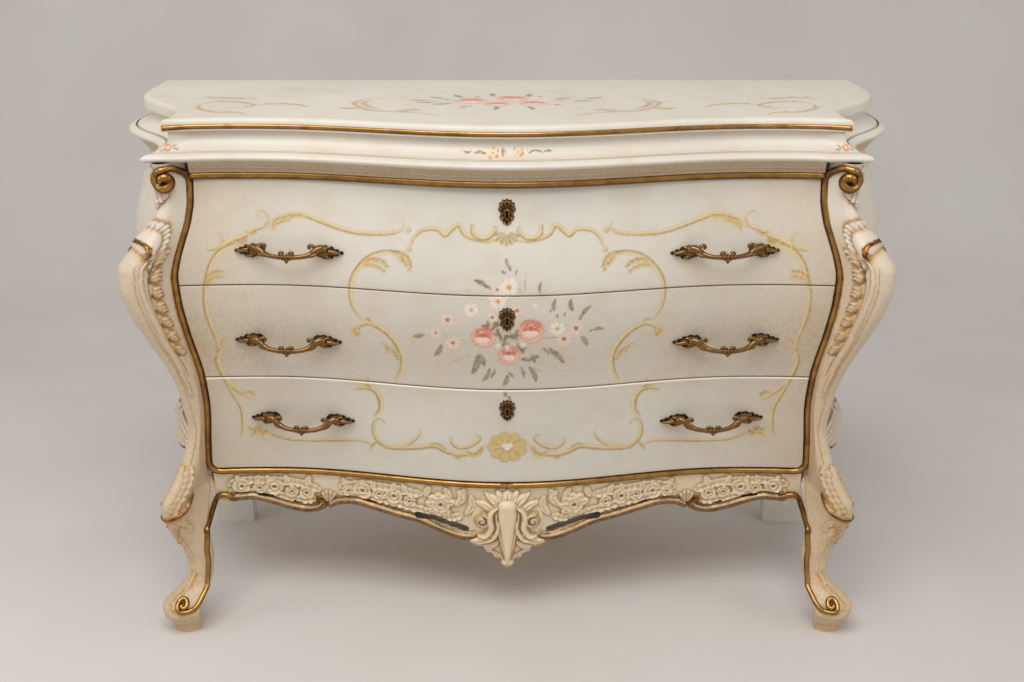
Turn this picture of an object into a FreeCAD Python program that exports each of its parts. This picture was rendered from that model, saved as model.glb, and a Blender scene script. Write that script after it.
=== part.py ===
import FreeCAD, Part
import math
import os

# Bombe chest of drawers. Sizes in mm. X runs to the right, Y to the back, Z up.
# Y is counted from the plane of the top board's front corners until the last step.
BACK_Y = 460.0

# Outline of the top: half of the front curve and the side curve behind the corner.
EAR_X, EAR_Y = 553.0, 48.0
EAR_START = 440.0
FRONT_FLANK_Y = 65.0
FRONT_SWEEP = 70.0
FLANK_X = 412.0
SIDE_CURVE = [(547.0, 76.0), (546.0, 108.0), (548.8, 128.0), (553.0, 148.0), (576.0, 190.0),
              (611.0, 235.0), (637.0, 280.0), (648.0, 330.0), (647.0, 385.0), (645.0, BACK_Y)]
BEHIND_POST = 3

LIP_OUT = 27.0
FRIEZE_IN = 34.0

# Vertical profile of the drawer fronts: height and depth of the flanks.
FRONT_PROFILE = [(90.0, 134.0), (150.0, 128.0), (240.0, 113.0), (270.0, 108.0), (360.0, 91.0),
                 (457.0, 72.0), (540.0, 58.0), (600.0, 51.5), (640.0, 50.0), (680.0, 52.0),
                 (740.0, 60.0), (800.0, 70.0), (834.0, 75.0)]
DRAWER_SWEEP = 62.0
FRONT_THICKNESS = 22.0

# Half width of the drawer fronts at each height.
DRAWER_EDGE = [(240.0, 527.0), (286.0, 524.0), (324.0, 521.0), (408.0, 514.0), (457.0, 516.0),
               (544.0, 531.0), (600.0, 539.0), (640.0, 541.0), (671.0, 535.0), (702.0, 525.0),
               (737.0, 514.0), (771.0, 509.0), (815.0, 509.0)]
DRAWER_Z = [(627.4, 801.4), (456.4, 625.4), (268.0, 454.4)]
CORNER_RADIUS = 14.0

# Layers of the stacked top above the drawers, from the rail up.
RAIL_GAP = 2.0
MOULDING_ABOVE_RAIL = 9.1
MOULDING_HEIGHT = 21.2
CORNICE_THICKNESS = 14.3
FRIEZE_HEIGHT = 32.0
TOP_BOARD_THICKNESS = 20.0
RAIL_Z = DRAWER_Z[0][1] + RAIL_GAP
MOULDING_Z = RAIL_Z + MOULDING_ABOVE_RAIL
CORNICE_Z = MOULDING_Z + MOULDING_HEIGHT
FRIEZE_Z = CORNICE_Z + CORNICE_THICKNESS
TOP_BOARD_Z = FRIEZE_Z + FRIEZE_HEIGHT

# Profiles of those layers: share of the layer's height and distance outside the outline.
TOP_BOARD_PROFILE = [(0.0, -2.5), (0.6, -2.5), (0.75, -3.2), (0.885, -5.0), (0.97, -7.7),
                     (1.0, -10.5)]
FRIEZE_PROFILE = [(0.0, 15.0), (0.125, 4.0), (0.28125, -4.0), (0.5, -10.0), (0.75, -12.0),
                  (1.0, -12.0)]
LIP_PROFILE = [(0.0, 17.0), (0.161, 23.5), (0.4615, LIP_OUT), (0.762, 24.0), (0.93, 18.0),
               (1.0, 15.0)]
MOULDING_PROFILE = [(0.0, 0.5), (0.3066, 1.5), (0.3774, 7.0), (0.6368, 8.0), (0.7075, 13.0),
                    (1.0, 14.0)]
TOP_BEAD_UP = 0.33

# Beads of gilded half round wood.
BEAD_RADIUS = 4.7
BEAD_FROM_DRAWER = 6.8
BEAD_DEPTH = 3.0
BEAD_PLAY = 0.6
REBATE_WIDTH = 10.0
APRON_TOP_Z = 256.0

# Drawer boxes.
BOX_FROM_FRONT = 17.0
BOX_SIDE = 13.0
BOX_BACK_Y = 425.0
BOX_ABOVE = 11.0
BOX_BELOW = 11.0
BOTTOM_THICKNESS = 7.0
BOTTOM_UP = 10.0
SLIDE_CLEARANCE = 0.5
GUIDE_CLEARANCE = 1.0
GUIDE_WIDTH = 41.0
GUIDE_HEIGHT = 24.0
RUNNER_WIDTH = 26.0
RUNNER_ON_POST = 8.0
RUNNER_THICKNESS = 20.0
DIVIDER_THICKNESS = 20.0
DIVIDER_FRONT = 80.0
DIVIDER_DEPTH = 95.0
BASE_Z = 250.0
BASE_THICKNESS = 18.0
BASE_PLAY = 2.0
BOX_HALF_WIDTH = min(x for z, x in DRAWER_EDGE) - BOX_FROM_FRONT
RUNNER_OUTER = BOX_HALF_WIDTH + GUIDE_CLEARANCE + GUIDE_WIDTH
REAR_POST_INNER = RUNNER_OUTER - RUNNER_ON_POST
BASE_HALF_WIDTH = REAR_POST_INNER - BASE_PLAY

# Side panels: half width where the curve is pinched and where it swells.
SIDE_PINCH = [(240.0, 549.0), (300.0, 546.0), (373.0, 543.0), (420.0, 546.0), (480.0, 552.0),
              (540.0, 562.0), (600.0, 572.0), (660.0, 575.0), (740.0, 562.0), (812.5, 548.0)]
SIDE_SWELL = [(240.0, 618.0), (300.0, 613.0), (360.0, 614.0), (420.0, 630.0), (480.0, 648.0),
              (540.0, 666.0), (600.0, 678.0), (660.0, 681.0), (740.0, 662.0), (812.5, 638.0)]
SIDE_WAVE = [(60.0, 0.05), (95.0, 0.0), (130.0, 0.01), (160.0, 0.10), (200.0, 0.37),
             (240.0, 0.68), (280.0, 0.89), (330.0, 1.0), (385.0, 0.985), (430.0, 0.96),
             (465.0, 0.95)]
SIDE_BOTTOM_Z = 335.0
SIDE_THICKNESS = 18.0
REAR_POST_DEPTH = 38.0
REAR_POST_FOOT = [(0.0, 602.0), (120.0, 604.0), (235.0, 612.0)]
BACK_SETBACK = 4.0
REAR_POST_Y = BACK_Y - BACK_SETBACK - REAR_POST_DEPTH
BACK_THICKNESS = 8.0

# Front posts: height, ridge silhouette X, ridge centre Y, ridge radius,
# inner edge X and front face Y where they leave the drawer outline.
POST_RIDGE = [(0.0, 594.0, 22.0, 27.0), (12.0, 594.5, 20.0, 27.0), (26.0, 598.0, 10.0, 27.0),
              (40.0, 606.0, 2.0, 27.0), (54.0, 607.0, 4.0, 25.0), (68.0, 593.0, 16.0, 21.0),
              (82.0, 573.0, 32.0, 18.0), (100.0, 566.0, 42.0, 17.0), (123.0, 569.0, 46.0, 17.0),
              (150.0, 577.0, 44.0, 18.0), (180.0, 589.0, 36.0, 19.0), (210.0, 597.0, 30.0, 20.0),
              (235.0, 596.0, 28.0, 20.0), (260.0, 584.0, 35.0, 19.0), (290.0, 570.0, 46.0, 17.0),
              (325.0, 559.0, 56.0, 16.0), (365.0, 551.0, 63.0, 16.0), (405.0, 555.0, 59.0, 17.0),
              (446.0, 561.0, 51.0, 18.0), (500.0, 577.0, 35.0, 20.0), (541.0, 594.0, 21.0, 22.0),
              (600.0, 616.0, 3.0, 24.0), (640.0, 624.5, -2.0, 25.0), (668.0, 625.0, 1.0, 25.0),
              (690.0, 613.0, 10.0, 23.0), (706.0, 598.0, 20.0, 20.0), (722.0, 585.0, 30.0, 17.0),
              (745.0, 569.0, 43.0, 15.0), (775.0, 561.0, 50.0, 14.0), (806.0, 562.0, 48.0, 15.0),
              (CORNICE_Z, 568.0, 42.0, 16.0)]
POST_INNER = [(0.0, 542.0, 4.0), (12.0, 541.0, 0.0), (26.0, 541.0, -8.0), (40.0, 538.0, -14.0),
              (54.0, 534.0, -8.0), (68.0, 528.0, 6.0), (82.0, 523.0, 20.0), (100.0, 520.0, 30.0),
              (123.0, 519.0, 36.0), (150.0, 524.0, 46.0), (180.0, 529.0, 62.0),
              (210.0, 527.0, 82.0), (235.0, 526.0, 99.0)]
POST_REAR = [(0.0, 583.0, 47.0), (12.0, 583.0, 46.0), (26.0, 584.0, 44.0), (40.0, 586.0, 46.0),
             (54.0, 586.0, 50.0), (68.0, 580.0, 58.0), (82.0, 570.0, 66.0), (100.0, 562.0, 74.0),
             (123.0, 560.0, 80.0), (150.0, 564.0, 88.0), (180.0, 570.0, 98.0),
             (210.0, 568.0, 112.0), (235.0, 558.0, 124.0)]
POST_BODY_Z = 250.0
POST_DEPTH_Y = 128.0
POST_SET_BACK = 1.0
POST_STEP = 12.0

# Work on the post: height, start and end from the ridge, thickness.
CARVING_GAP = 0.6
CAPITAL_SHAPE = [(65.7, -1.5, 1.5, 1.5), (53.7, -8.0, 8.0, 4.0), (41.7, -17.0, 17.0, 8.5),
                 (29.7, -22.0, 22.0, 11.5), (17.7, -22.0, 22.0, 11.5), (5.7, -17.0, 17.0, 8.5)]
CAPITAL = [(CORNICE_Z - below, start, end, thick) for below, start, end, thick in CAPITAL_SHAPE]
COLLAR = [(696.0, -34.0, 34.0, 5.0), (708.0, -34.0, 34.0, 5.0)]
SHOULDER_LEAF = [(708.0, -26.0, 26.0, 4.5), (732.0, -20.0, 20.0, 4.5), (756.0, -2.0, 2.0, 1.5)]
COIN_RIBBON = [(552.0, -46.0, -34.0, 3.0), (600.0, -62.0, -36.0, 4.5), (648.0, -74.0, -42.0, 4.5),
               (684.0, -68.0, -46.0, 4.0)]
KNEE_LEAF = [(168.0, -2.0, 2.0, 1.5), (204.0, -16.0, 16.0, 5.0), (240.0, -25.0, 25.0, 5.0),
             (264.0, -26.0, 26.0, 5.0), (288.0, -16.0, 16.0, 4.0), (300.0, -6.0, 6.0, 2.0)]
LEG_BEAD_RADIUS = 3.8
LEG_BEAD_Z = (72.0, 204.0)
FOOT_VOLUTE = (570.0, -31.0, 58.0)
FOOT_VOLUTE_RADIUS = 9.0
FOOT_VOLUTE_DEPTH = 8.9
POST_GAP = 4.0
JOINT_PLAY = 0.5

# Apron: lower edge from the leg to the middle.
APRON_EDGE = [(507.0, 186.0), (484.0, 198.0), (459.0, 199.0), (428.0, 190.0), (395.0, 178.0),
              (366.0, 172.0), (341.0, 176.0), (322.0, 184.0), (302.0, 194.0), (272.0, 196.0),
              (241.0, 189.0), (192.0, 177.0), (156.0, 170.0), (112.0, 152.0), (75.0, 143.0),
              (40.0, 146.0), (0.0, 148.0)]
APRON_BACKSET = 3.0
APRON_PLAY = 0.4
APRON_HALF_WIDTH = POST_INNER[-1][1] - APRON_PLAY
APRON_SLAB_Z = (120.0, APRON_TOP_Z + 6.0)
APRON_THICKNESS = 24.0
CARVING_RELIEF = 8.0
GILT_EDGE_HEIGHT = 7.5

# Pulls and escutcheons: half spacing, height, half distance of the two rosettes.
PULL_ROWS = [(356.5, 685.5), (367.0, 528.0), (354.5, 374.0)]
PULL_HALF_SPAN = 60.0
PULL_START = 9.0
PULL_REACH = 33.0
PULL_DROP = 5.0
PULL_ROD = 4.2
PULL_SHANK = 3.0
ROSETTE_LENGTH = 44.0
ROSETTE_HEIGHT = 20.0
ROSETTE_THICKNESS = 5.0
SCREW_RADIUS = 2.2
NUT_RADIUS = 5.5
ESCUTCHEON_BELOW_TOP = 39.0
ESCUTCHEON_SIZE = (29.0, 43.0)
KEY_RADIUS = 2.8
LOCK_SIZE = (62.0, 14.0, 46.0)
BOLT_SIZE = (26.0, 4.0, 20.0)
BOLT_TRAVEL = 9.0
TOP_LOCK_BELOW = 1.0
MORTISE_SPARE = 4.0
BOLT_CLEARANCE = 0.8


def vec(x, y, z):
    return FreeCAD.Vector(x, y, z)


def along(table, value, column=1):
    """Smooth value of a table at one place, with slopes that never overshoot."""
    keys = [row[0] for row in table]
    data = [row[column] for row in table]
    if value <= keys[0]:
        return data[0]
    if value >= keys[-1]:
        return data[-1]
    steps = [(data[i + 1] - data[i]) / (keys[i + 1] - keys[i]) for i in range(len(keys) - 1)]
    slopes = [steps[0]]
    for i in range(1, len(steps)):
        if steps[i - 1] * steps[i] <= 0.0:
            slopes.append(0.0)
        else:
            slopes.append(2.0 * steps[i - 1] * steps[i] / (steps[i - 1] + steps[i]))
    slopes.append(steps[-1])
    i = max(k for k in range(len(keys) - 1) if keys[k] <= value)
    span = keys[i + 1] - keys[i]
    t = (value - keys[i]) / span
    near = data[i] * (1 + 2 * t) * (1 - t) ** 2 + slopes[i] * span * t * (1 - t) ** 2
    far = data[i + 1] * t * t * (3 - 2 * t) - slopes[i + 1] * span * t * t * (1 - t)
    return near + far


def wave(x):
    """Serpentine of the front: 1 in the middle, 0 at the flanks."""
    return 0.5 * (1 + math.cos(math.pi * min(abs(x), FLANK_X) / FLANK_X))


def front_y(x, z):
    """Depth of the drawer fronts' face."""
    corner = 6.0 * max(0.0, (abs(x) - FLANK_X) / 125.0) ** 2
    return along(FRONT_PROFILE, z) - DRAWER_SWEEP * wave(x) - corner


def drawer_x(z):
    return along(DRAWER_EDGE, z)


def side_x(y, z):
    """Half width of the side panels' face."""
    pinch = along(SIDE_PINCH, z)
    return pinch + (along(SIDE_SWELL, z) - pinch) * along(SIDE_WAVE, y)


def spline(points):
    curve = Part.BSplineCurve()
    curve.interpolate([vec(*p) for p in points])
    return curve.toShape()


def line(start, end):
    return Part.makeLine(vec(*start), vec(*end))


def loft(wires, ruled=False):
    return Part.makeLoft(wires, True, ruled, False)


def box(x0, x1, y0, y1, z0, z1):
    return Part.makeBox(x1 - x0, y1 - y0, z1 - z0, vec(x0, y0, z0))


def prism_y(points, y0, y1, smooth=False):
    """Outline given as X and Z, pushed from y0 to y1."""
    corners = [(x, y0, z) for x, z in points]
    if smooth:
        edge = Part.BSplineCurve()
        edge.interpolate([vec(*p) for p in corners], PeriodicFlag=True)
        wire = Part.Wire(edge.toShape())
    else:
        wire = Part.makePolygon([vec(*p) for p in corners + corners[:1]])
    return Part.Face(wire).extrude(vec(0, y1 - y0, 0))


def mirrored(shape):
    return shape.mirror(vec(0, 0, 0), vec(1, 0, 0))


def pipe(points, radius):
    """Round bar along a smooth path."""
    path = Part.Wire(spline(points))
    start = vec(*points[0])
    heading = path.Edges[0].tangentAt(path.Edges[0].FirstParameter)
    circle = Part.Wire(Part.makeCircle(radius, start, heading))
    return path.makePipeShell([circle], True, False)


def facet_bar(points, radius, sides=10):
    """Many sided bar along a path that faces the front, with straight runs between its points."""
    rows = []
    for i, point in enumerate(points):
        heading = vec(*points[min(i + 1, len(points) - 1)]) - vec(*points[max(i - 1, 0)])
        across = heading.cross(vec(0, 1, 0)).normalize()
        outward = across.cross(heading).normalize()
        ring = []
        for k in range(sides):
            angle = 2.0 * math.pi * k / sides
            offset = across * math.cos(angle) + outward * math.sin(angle)
            ring.append(vec(*point) + offset * radius)
        rows.append(Part.makePolygon(ring + ring[:1]))
    return loft(rows, True)


def offset_points(points, distance):
    """Points of an open curve moved to its right hand side."""
    moved = []
    for i, (x, y) in enumerate(points):
        x0, y0 = points[max(i - 1, 0)]
        x1, y1 = points[min(i + 1, len(points) - 1)]
        size = math.hypot(x1 - x0, y1 - y0)
        moved.append((x + distance * (y1 - y0) / size, y - distance * (x1 - x0) / size))
    return moved


def top_front_y(x):
    ear = max(0.0, (abs(x) - EAR_START) / (EAR_X - EAR_START))
    return FRONT_FLANK_Y - FRONT_SWEEP * wave(x) - (FRONT_FLANK_Y - EAR_Y) * ear ** 2.2


def corner(out):
    return (EAR_X + 1.05 * out, EAR_Y - 0.8 * out)


def front_curve(out, limit=None):
    """Front edge of the top at a distance outside its outline, left to right."""
    reach = limit or 520.0 + 1.05 * min(out, 0.0)
    xs = [reach * i / 12.0 for i in range(-12, 13)]
    points = offset_points([(x, top_front_y(x)) for x in xs], out)
    if limit is None:
        x, y = corner(out)
        points = [(-x, y)] + points + [(x, y)]
    return points


def side_curve(out):
    """Right hand edge of the top, from the front corner to the back."""
    points = offset_points([(EAR_X, EAR_Y)] + SIDE_CURVE, out)
    points[0] = corner(out)
    points[-1] = (points[-1][0], BACK_Y)
    return points


def outline(out, z):
    front = [(x, y, z) for x, y in front_curve(out)]
    right = [(x, y, z) for x, y in side_curve(out)]
    left = [(-x, y, z) for x, y in reversed(side_curve(out))]
    return Part.Wire([spline(front), spline(right), line(right[-1], left[0]), spline(left)])


def strip(outer, inner, z):
    """Closed ring between two open curves of X, Y points."""
    a = [(x, y, z) for x, y in outer]
    b = [(x, y, z) for x, y in reversed(inner)]
    return Part.Wire([spline(a), line(a[-1], b[0]), spline(b), line(b[-1], a[0])])


def layer(profile, low, height):
    """Heights and distances of a layer's profile."""
    return [(low + share * height, out) for share, out in profile]


def top_parts():
    parts = {}
    rounding = layer(TOP_BOARD_PROFILE, TOP_BOARD_Z, TOP_BOARD_THICKNESS)
    board = loft([outline(out, z) for z, out in rounding], True)
    bead_z = TOP_BOARD_Z + TOP_BEAD_UP * TOP_BOARD_THICKNESS
    bead = pipe([(x, y, bead_z) for x, y in front_curve(-4.2)], 4.4)
    parts["top_board"] = board.cut(bead)
    parts["top_edge_bead"] = bead

    cove = layer(FRIEZE_PROFILE, FRIEZE_Z, FRIEZE_HEIGHT)
    front = loft([strip(front_curve(out), front_curve(-FRIEZE_IN), z) for z, out in cove], True)
    side = loft([strip(side_curve(out), side_curve(-FRIEZE_IN), z) for z, out in cove], True)
    side = largest(side.cut(front))
    parts["frieze_front"] = front
    reach = side_curve(-FRIEZE_IN)[-1][0] + 5.0
    back = box(-reach, reach, BACK_Y - 26.0, BACK_Y - 8.0, FRIEZE_Z, TOP_BOARD_Z)
    back = largest(back.cut(side).cut(mirrored(side)))
    parts["frieze_boards"] = [mirrored(side), side, back]

    lip = layer(LIP_PROFILE, CORNICE_Z, CORNICE_THICKNESS)
    parts["cornice_board"] = loft([outline(out, z) for z, out in lip], True)

    steps = layer(MOULDING_PROFILE, MOULDING_Z, MOULDING_HEIGHT)
    half = drawer_x(MOULDING_Z) + POST_GAP - JOINT_PLAY
    front = loft([strip(front_curve(out, half), front_curve(-9.0, half), z)
                  for z, out in steps], True)
    back = side_curve(-28.0)[BEHIND_POST:]
    side = loft([strip(side_curve(out)[BEHIND_POST:], back, z) for z, out in steps], True)
    parts["cornice_moulding"] = Part.makeCompound([front, mirrored(side), side])

    bead_z = RAIL_Z + BEAD_RADIUS
    bead = pipe([(x, y, bead_z) for x, y in front_curve(-4.0, half)], 4.4)
    parts["cornice_bead"] = bead
    rail_front = front_curve(-9.0, half)
    rail_back = [(x, 160.0) for x, y in rail_front]
    rail = loft([strip(rail_front, rail_back, RAIL_Z), strip(rail_front, rail_back, CORNICE_Z)],
                True)
    parts["top_rail"] = rail.common(box(-half, half, -100.0, 200.0, RAIL_Z, CORNICE_Z))
    return parts


def front_slab(ahead, behind, z0, z1, flat_back=None):
    """Body of the curved front between two depths behind its face."""
    count = 11
    xs = [605.0 * i / 16.0 for i in range(-16, 17)]
    wires = []
    for level in range(count):
        z = z0 + (z1 - z0) * level / (count - 1.0)
        face = [(x, front_y(x, z) + ahead) for x in xs]
        if flat_back:
            rear = [(x, flat_back) for x in xs]
        else:
            rear = [(x, front_y(x, z) + behind) for x in xs]
        wires.append(strip(face, rear, z))
    return loft(wires)


def outline_prism(z0, z1, grow, y0=-120.0, y1=480.0, rounded=False):
    """Drawer outline between two heights, widened by grow, pushed through in Y."""
    count = 9
    levels = [z0 + (z1 - z0) * i / (count - 1.0) for i in range(count)]
    right = [(drawer_x(z) + grow, y0, z) for z in levels]
    left = [(-x, y, z) for x, y, z in right]
    wire = Part.Wire([spline(right), line(right[-1], left[-1]), spline(left),
                      line(left[0], right[0])])
    solid = Part.Face(wire).extrude(vec(0, y1 - y0, 0))
    if rounded:
        radius = CORNER_RADIUS
        x = drawer_x(z0 + radius) + grow - radius
        notch = box(x, x + 3 * radius, y0, y1, z0 - radius, z0 + radius)
        disc = Part.makeCylinder(radius, y1 - y0, vec(x, y0, z0 + radius), vec(0, 1, 0))
        notch = notch.cut(disc)
        solid = solid.cut(notch).cut(mirrored(notch))
    return solid


def post_edge(z):
    """Inner front edge of the right front post and leg."""
    if z >= POST_BODY_Z:
        x = drawer_x(z) + POST_GAP
        return x, front_y(x, z) + POST_SET_BACK
    return along(POST_INNER, z, 1), along(POST_INNER, z, 2)


def post_rear(z):
    """Rear outer edge of the right front post and leg."""
    if z >= POST_BODY_Z:
        return side_x(POST_DEPTH_Y, z), POST_DEPTH_Y
    return along(POST_REAR, z, 1), along(POST_REAR, z, 2)


def post_ridge(z, grow):
    """Centre and radius of the post's rounded ridge."""
    radius = along(POST_RIDGE, z, 3)
    return along(POST_RIDGE, z, 1) - radius, along(POST_RIDGE, z, 2), radius + grow


def post_face(z, grow):
    """Front and side of the right front post at one height, from the bead to the panel."""
    cx, cy, radius = post_ridge(z, grow)
    ax, ay = post_edge(z)
    bx, by = post_rear(z)
    ay -= grow
    bx += grow

    def touch(px, py, turn):
        reach = math.hypot(px - cx, py - cy)
        return math.atan2(py - cy, px - cx) + turn * math.acos(min(0.98, radius / reach))

    def on_ridge(angle):
        return cx + radius * math.cos(angle), cy + radius * math.sin(angle)

    def between(p, q, t, hollow):
        size = math.hypot(q[0] - p[0], q[1] - p[1])
        nx = (q[1] - p[1]) / size
        ny = -(q[0] - p[0]) / size
        return (p[0] + (q[0] - p[0]) * t - nx * hollow, p[1] + (q[1] - p[1]) * t - ny * hollow)

    first = touch(ax, ay, 1.0)
    while first > 0.0:
        first -= 2.0 * math.pi
    last = touch(bx, by, -1.0)
    while last < first:
        last += 2.0 * math.pi
    start = on_ridge(first)
    wall = ax + REBATE_WIDTH
    if start[0] > wall:
        lip = between((ax, ay), start, REBATE_WIDTH / (start[0] - ax), 0.0)
        front = [lip, between(lip, start, 0.5, 1.2)]
    else:
        first = -math.acos(max((wall - cx) / radius, -0.99))
        front = [on_ridge(first), on_ridge(first + (last - first) * 0.08)]
        first += (last - first) * 0.16
    arc = [on_ridge(first + (last - first) * i / 6.0) for i in range(7)]
    return front + arc + [between(arc[-1], (bx, by), 0.5, 1.2), (bx, by)]


def post_section(z, grow=0.0):
    """Whole section of the post, with the rebate that holds the gilded bead."""
    face = [(x, y, z) for x, y in post_face(z, grow)]
    x, y = post_edge(z)
    deep = y - POST_SET_BACK + BEAD_DEPTH + BEAD_RADIUS + BEAD_PLAY
    corners = [(x, face[-1][1], z), (x, deep, z), (face[0][0], deep, z)]
    edges = [spline(face), line(face[-1], corners[0]), line(corners[0], corners[1]),
             line(corners[1], corners[2]), line(corners[2], face[0])]
    return Part.Wire(edges)


def levels_between(z0, z1):
    """Heights on a common grid, so that the post and the work on it have the same sections."""
    first = int(math.floor(z0 / POST_STEP)) + 1
    last = int(math.ceil(z1 / POST_STEP))
    return [z0] + [POST_STEP * i for i in range(first, last)] + [z1]


def post_body():
    return loft([post_section(z) for z in levels_between(0.0, CORNICE_Z)], True)


def stretch(z, grow, start, end):
    """Part of the post's outer curve, between two distances from its ridge, as 9 points."""
    curve = spline([(x, y, z) for x, y in post_face(z, grow)])
    cx, cy, radius = post_ridge(z, grow)
    ridge = vec(cx + radius * math.sqrt(0.5), cy - radius * math.sqrt(0.5), z)
    fine = curve.discretize(Number=161)
    middle = min(range(161), key=lambda i: fine[i].distanceToPoint(ridge))
    step = curve.Length / 160.0
    picked = []
    for i in range(9):
        place = middle + (start + (end - start) * i / 8.0) / step
        place = min(max(place, 0.0), 159.999)
        low = int(place)
        picked.append(fine[low] + (fine[low + 1] - fine[low]) * (place - low))
    return picked


def overlay(rows):
    """Layer on the post. Rows: height, start and end from the ridge, thickness."""
    wires = []
    for z in levels_between(rows[0][0], rows[-1][0]):
        start, end, thickness = [along(rows, z, column) for column in (1, 2, 3)]
        outer = stretch(z, CARVING_GAP + thickness, start, end)
        inner = stretch(z, CARVING_GAP, start, end)
        ring = outer + inner[::-1]
        wires.append(Part.makePolygon(ring + ring[:1]))
    return loft(wires, True)


def frame_bead():
    """Gilded bead around the drawers: two side bars that turn the corner, and a bottom bar."""
    radius = CORNER_RADIUS + BEAD_FROM_DRAWER
    bottom = APRON_TOP_Z + BEAD_RADIUS
    levels = levels_between(bottom + radius, 798.0)[::-1]
    right = [(drawer_x(z) + BEAD_FROM_DRAWER, z) for z in levels]
    turn_x = right[-1][0] - radius
    for i in range(1, 6):
        angle = math.pi / 2 * i / 6.0
        right.append((turn_x + radius * math.cos(angle), bottom + radius - radius * math.sin(angle)))
    right.append((turn_x, bottom))
    middle = [((turn_x - 0.3) * i / 12.0, bottom) for i in range(-12, 13)]

    def on_face(path):
        return [(x, front_y(x, z) + BEAD_DEPTH, z) for x, z in path]

    side = facet_bar(on_face(right), BEAD_RADIUS)
    foot = facet_bar(on_face(middle), BEAD_RADIUS)
    return {"frame_bead_sides": [mirrored(side), side], "frame_bead_bottom": foot}


def apron_edge(x):
    return along(list(reversed(APRON_EDGE)), x)


def apron_points():
    """Lower edge of the apron from right to left, in short steps."""
    half = [APRON_EDGE[0][0] * i / 34.0 for i in range(35)]
    right = [(x, apron_edge(x)) for x in reversed(half)]
    return right + [(-x, z) for x, z in reversed(right[:-1])]


def apron_parts():
    parts = {}
    end = APRON_HALF_WIDTH
    edge = [(end, APRON_TOP_Z), (end, 206.0)] + apron_points()
    edge += [(-end, 206.0), (-end, APRON_TOP_Z)]
    plate = prism_y(edge, -150.0, 250.0)
    slab = front_slab(APRON_BACKSET, APRON_BACKSET + APRON_THICKNESS, *APRON_SLAB_Z)
    apron = slab.common(plate)
    relief = front_slab(APRON_BACKSET - CARVING_RELIEF, APRON_BACKSET, *APRON_SLAB_Z)

    scrolls = []
    for first, last in ((505.0, 345.0), (337.0, 80.0)):
        xs = [first + (last - first) * i / 20.0 for i in range(21)]
        low = [(x, apron_edge(x) + 0.3) for x in xs]
        band = low + [(x, z + GILT_EDGE_HEIGHT) for x, z in reversed(low)]
        bar = largest(relief.common(prism_y(band, -150.0, 250.0)))
        scrolls += [bar, mirrored(bar)]

    outer = [(500.0, 212.0), (480.0, 208.0), (440.0, 206.0), (405.0, 196.0), (372.0, 186.0),
             (350.0, 200.0), (346.0, 226.0), (362.0, 244.0), (400.0, 247.0), (450.0, 250.0),
             (488.0, 246.0), (503.0, 232.0)]
    inner = [(292.0, 214.0), (270.0, 208.0), (225.0, 203.0), (180.0, 192.0), (140.0, 180.0),
             (104.0, 166.0), (76.0, 170.0), (70.0, 205.0), (84.0, 235.0), (120.0, 240.0),
             (170.0, 243.0), (225.0, 247.0), (275.0, 246.0), (294.0, 234.0)]
    carvings = []
    for points in (outer, inner):
        piece = largest(relief.common(prism_y(points, -150.0, 250.0, True)))
        carvings += [piece, mirrored(piece)]

    shell = [(0.0, 250.0), (20.0, 246.0), (36.0, 226.0), (34.0, 200.0), (50.0, 178.0),
             (66.0, 158.0), (64.0, 136.0), (44.0, 124.0), (26.0, 112.0), (14.0, 96.0),
             (0.0, 88.0)]
    points = shell + [(-x, z) for x, z in reversed(shell[1:-1])]
    block = front_slab(APRON_BACKSET - 24.0, APRON_BACKSET + 12.0, 84.0, APRON_SLAB_Z[1])
    cartouche = largest(block.common(prism_y(points, -150.0, 250.0, True)).cut(apron))
    parts["front_apron"] = apron
    parts["apron_edge_scrolls"] = scrolls
    parts["apron_carvings"] = carvings
    parts["apron_cartouche"] = cartouche
    return parts


def side_parts():
    parts = {}
    ys = [POST_DEPTH_Y + (REAR_POST_Y - POST_DEPTH_Y) * i / 16.0 for i in range(17)]
    levels = [SIDE_BOTTOM_Z + (MOULDING_Z - SIDE_BOTTOM_Z) * i / 9.0 for i in range(10)]
    panel = loft([strip([(side_x(y, z), y) for y in ys],
                        [(side_x(y, z) - SIDE_THICKNESS, y) for y in ys], z) for z in levels])

    swell = [(240.0, 14.0), (262.0, 28.0), (285.0, 31.0), (310.0, 20.0), (SIDE_BOTTOM_Z, 4.0)]

    def apron_x(y, z, more=0.0):
        rise = 0.2 + 0.8 * along(SIDE_WAVE, y)
        return side_x(y, z) + (along(swell, z) + more) * rise

    rows = [240.0, 251.0, 262.0, 273.0, 285.0, 297.0, 310.0, 323.0, SIDE_BOTTOM_Z]
    body = loft([strip([(apron_x(y, z), y) for y in ys],
                       [(side_x(y, z) - 16.0, y) for y in ys], z) for z in rows])
    dip = [(POST_DEPTH_Y, 266.0), (170.0, 268.0), (210.0, 256.0), (260.0, 243.0),
           (300.0, 243.0), (350.0, 256.0), (385.0, 268.0), (REAR_POST_Y, 266.0)]
    low = [(450.0, y, z) for y, z in dip]
    start, end = (450.0, POST_DEPTH_Y, 345.0), (450.0, REAR_POST_Y, 345.0)
    wire = Part.Wire([spline(low), line(low[-1], end), line(end, start), line(start, low[0])])
    body = body.common(Part.Face(wire).extrude(vec(300.0, 0, 0)))

    rim_path = [(apron_x(y, z + 4.5) + 6.6, y, z + 4.5) for y, z in dip[1:-1]]
    rim = pipe(rim_path, 4.4)
    bead_path = [(side_x(y, SIDE_BOTTOM_Z) + 4.9, y, SIDE_BOTTOM_Z + 5.0) for y in ys[1:-1]]
    bead = pipe(bead_path, 4.2)
    parts["side_panel_right"] = panel
    parts["side_panel_left"] = mirrored(panel)
    parts["side_apron_right"] = body
    parts["side_apron_left"] = mirrored(body)
    parts["side_apron_rims"] = [mirrored(rim), rim, mirrored(bead), bead]
    return parts


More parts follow.
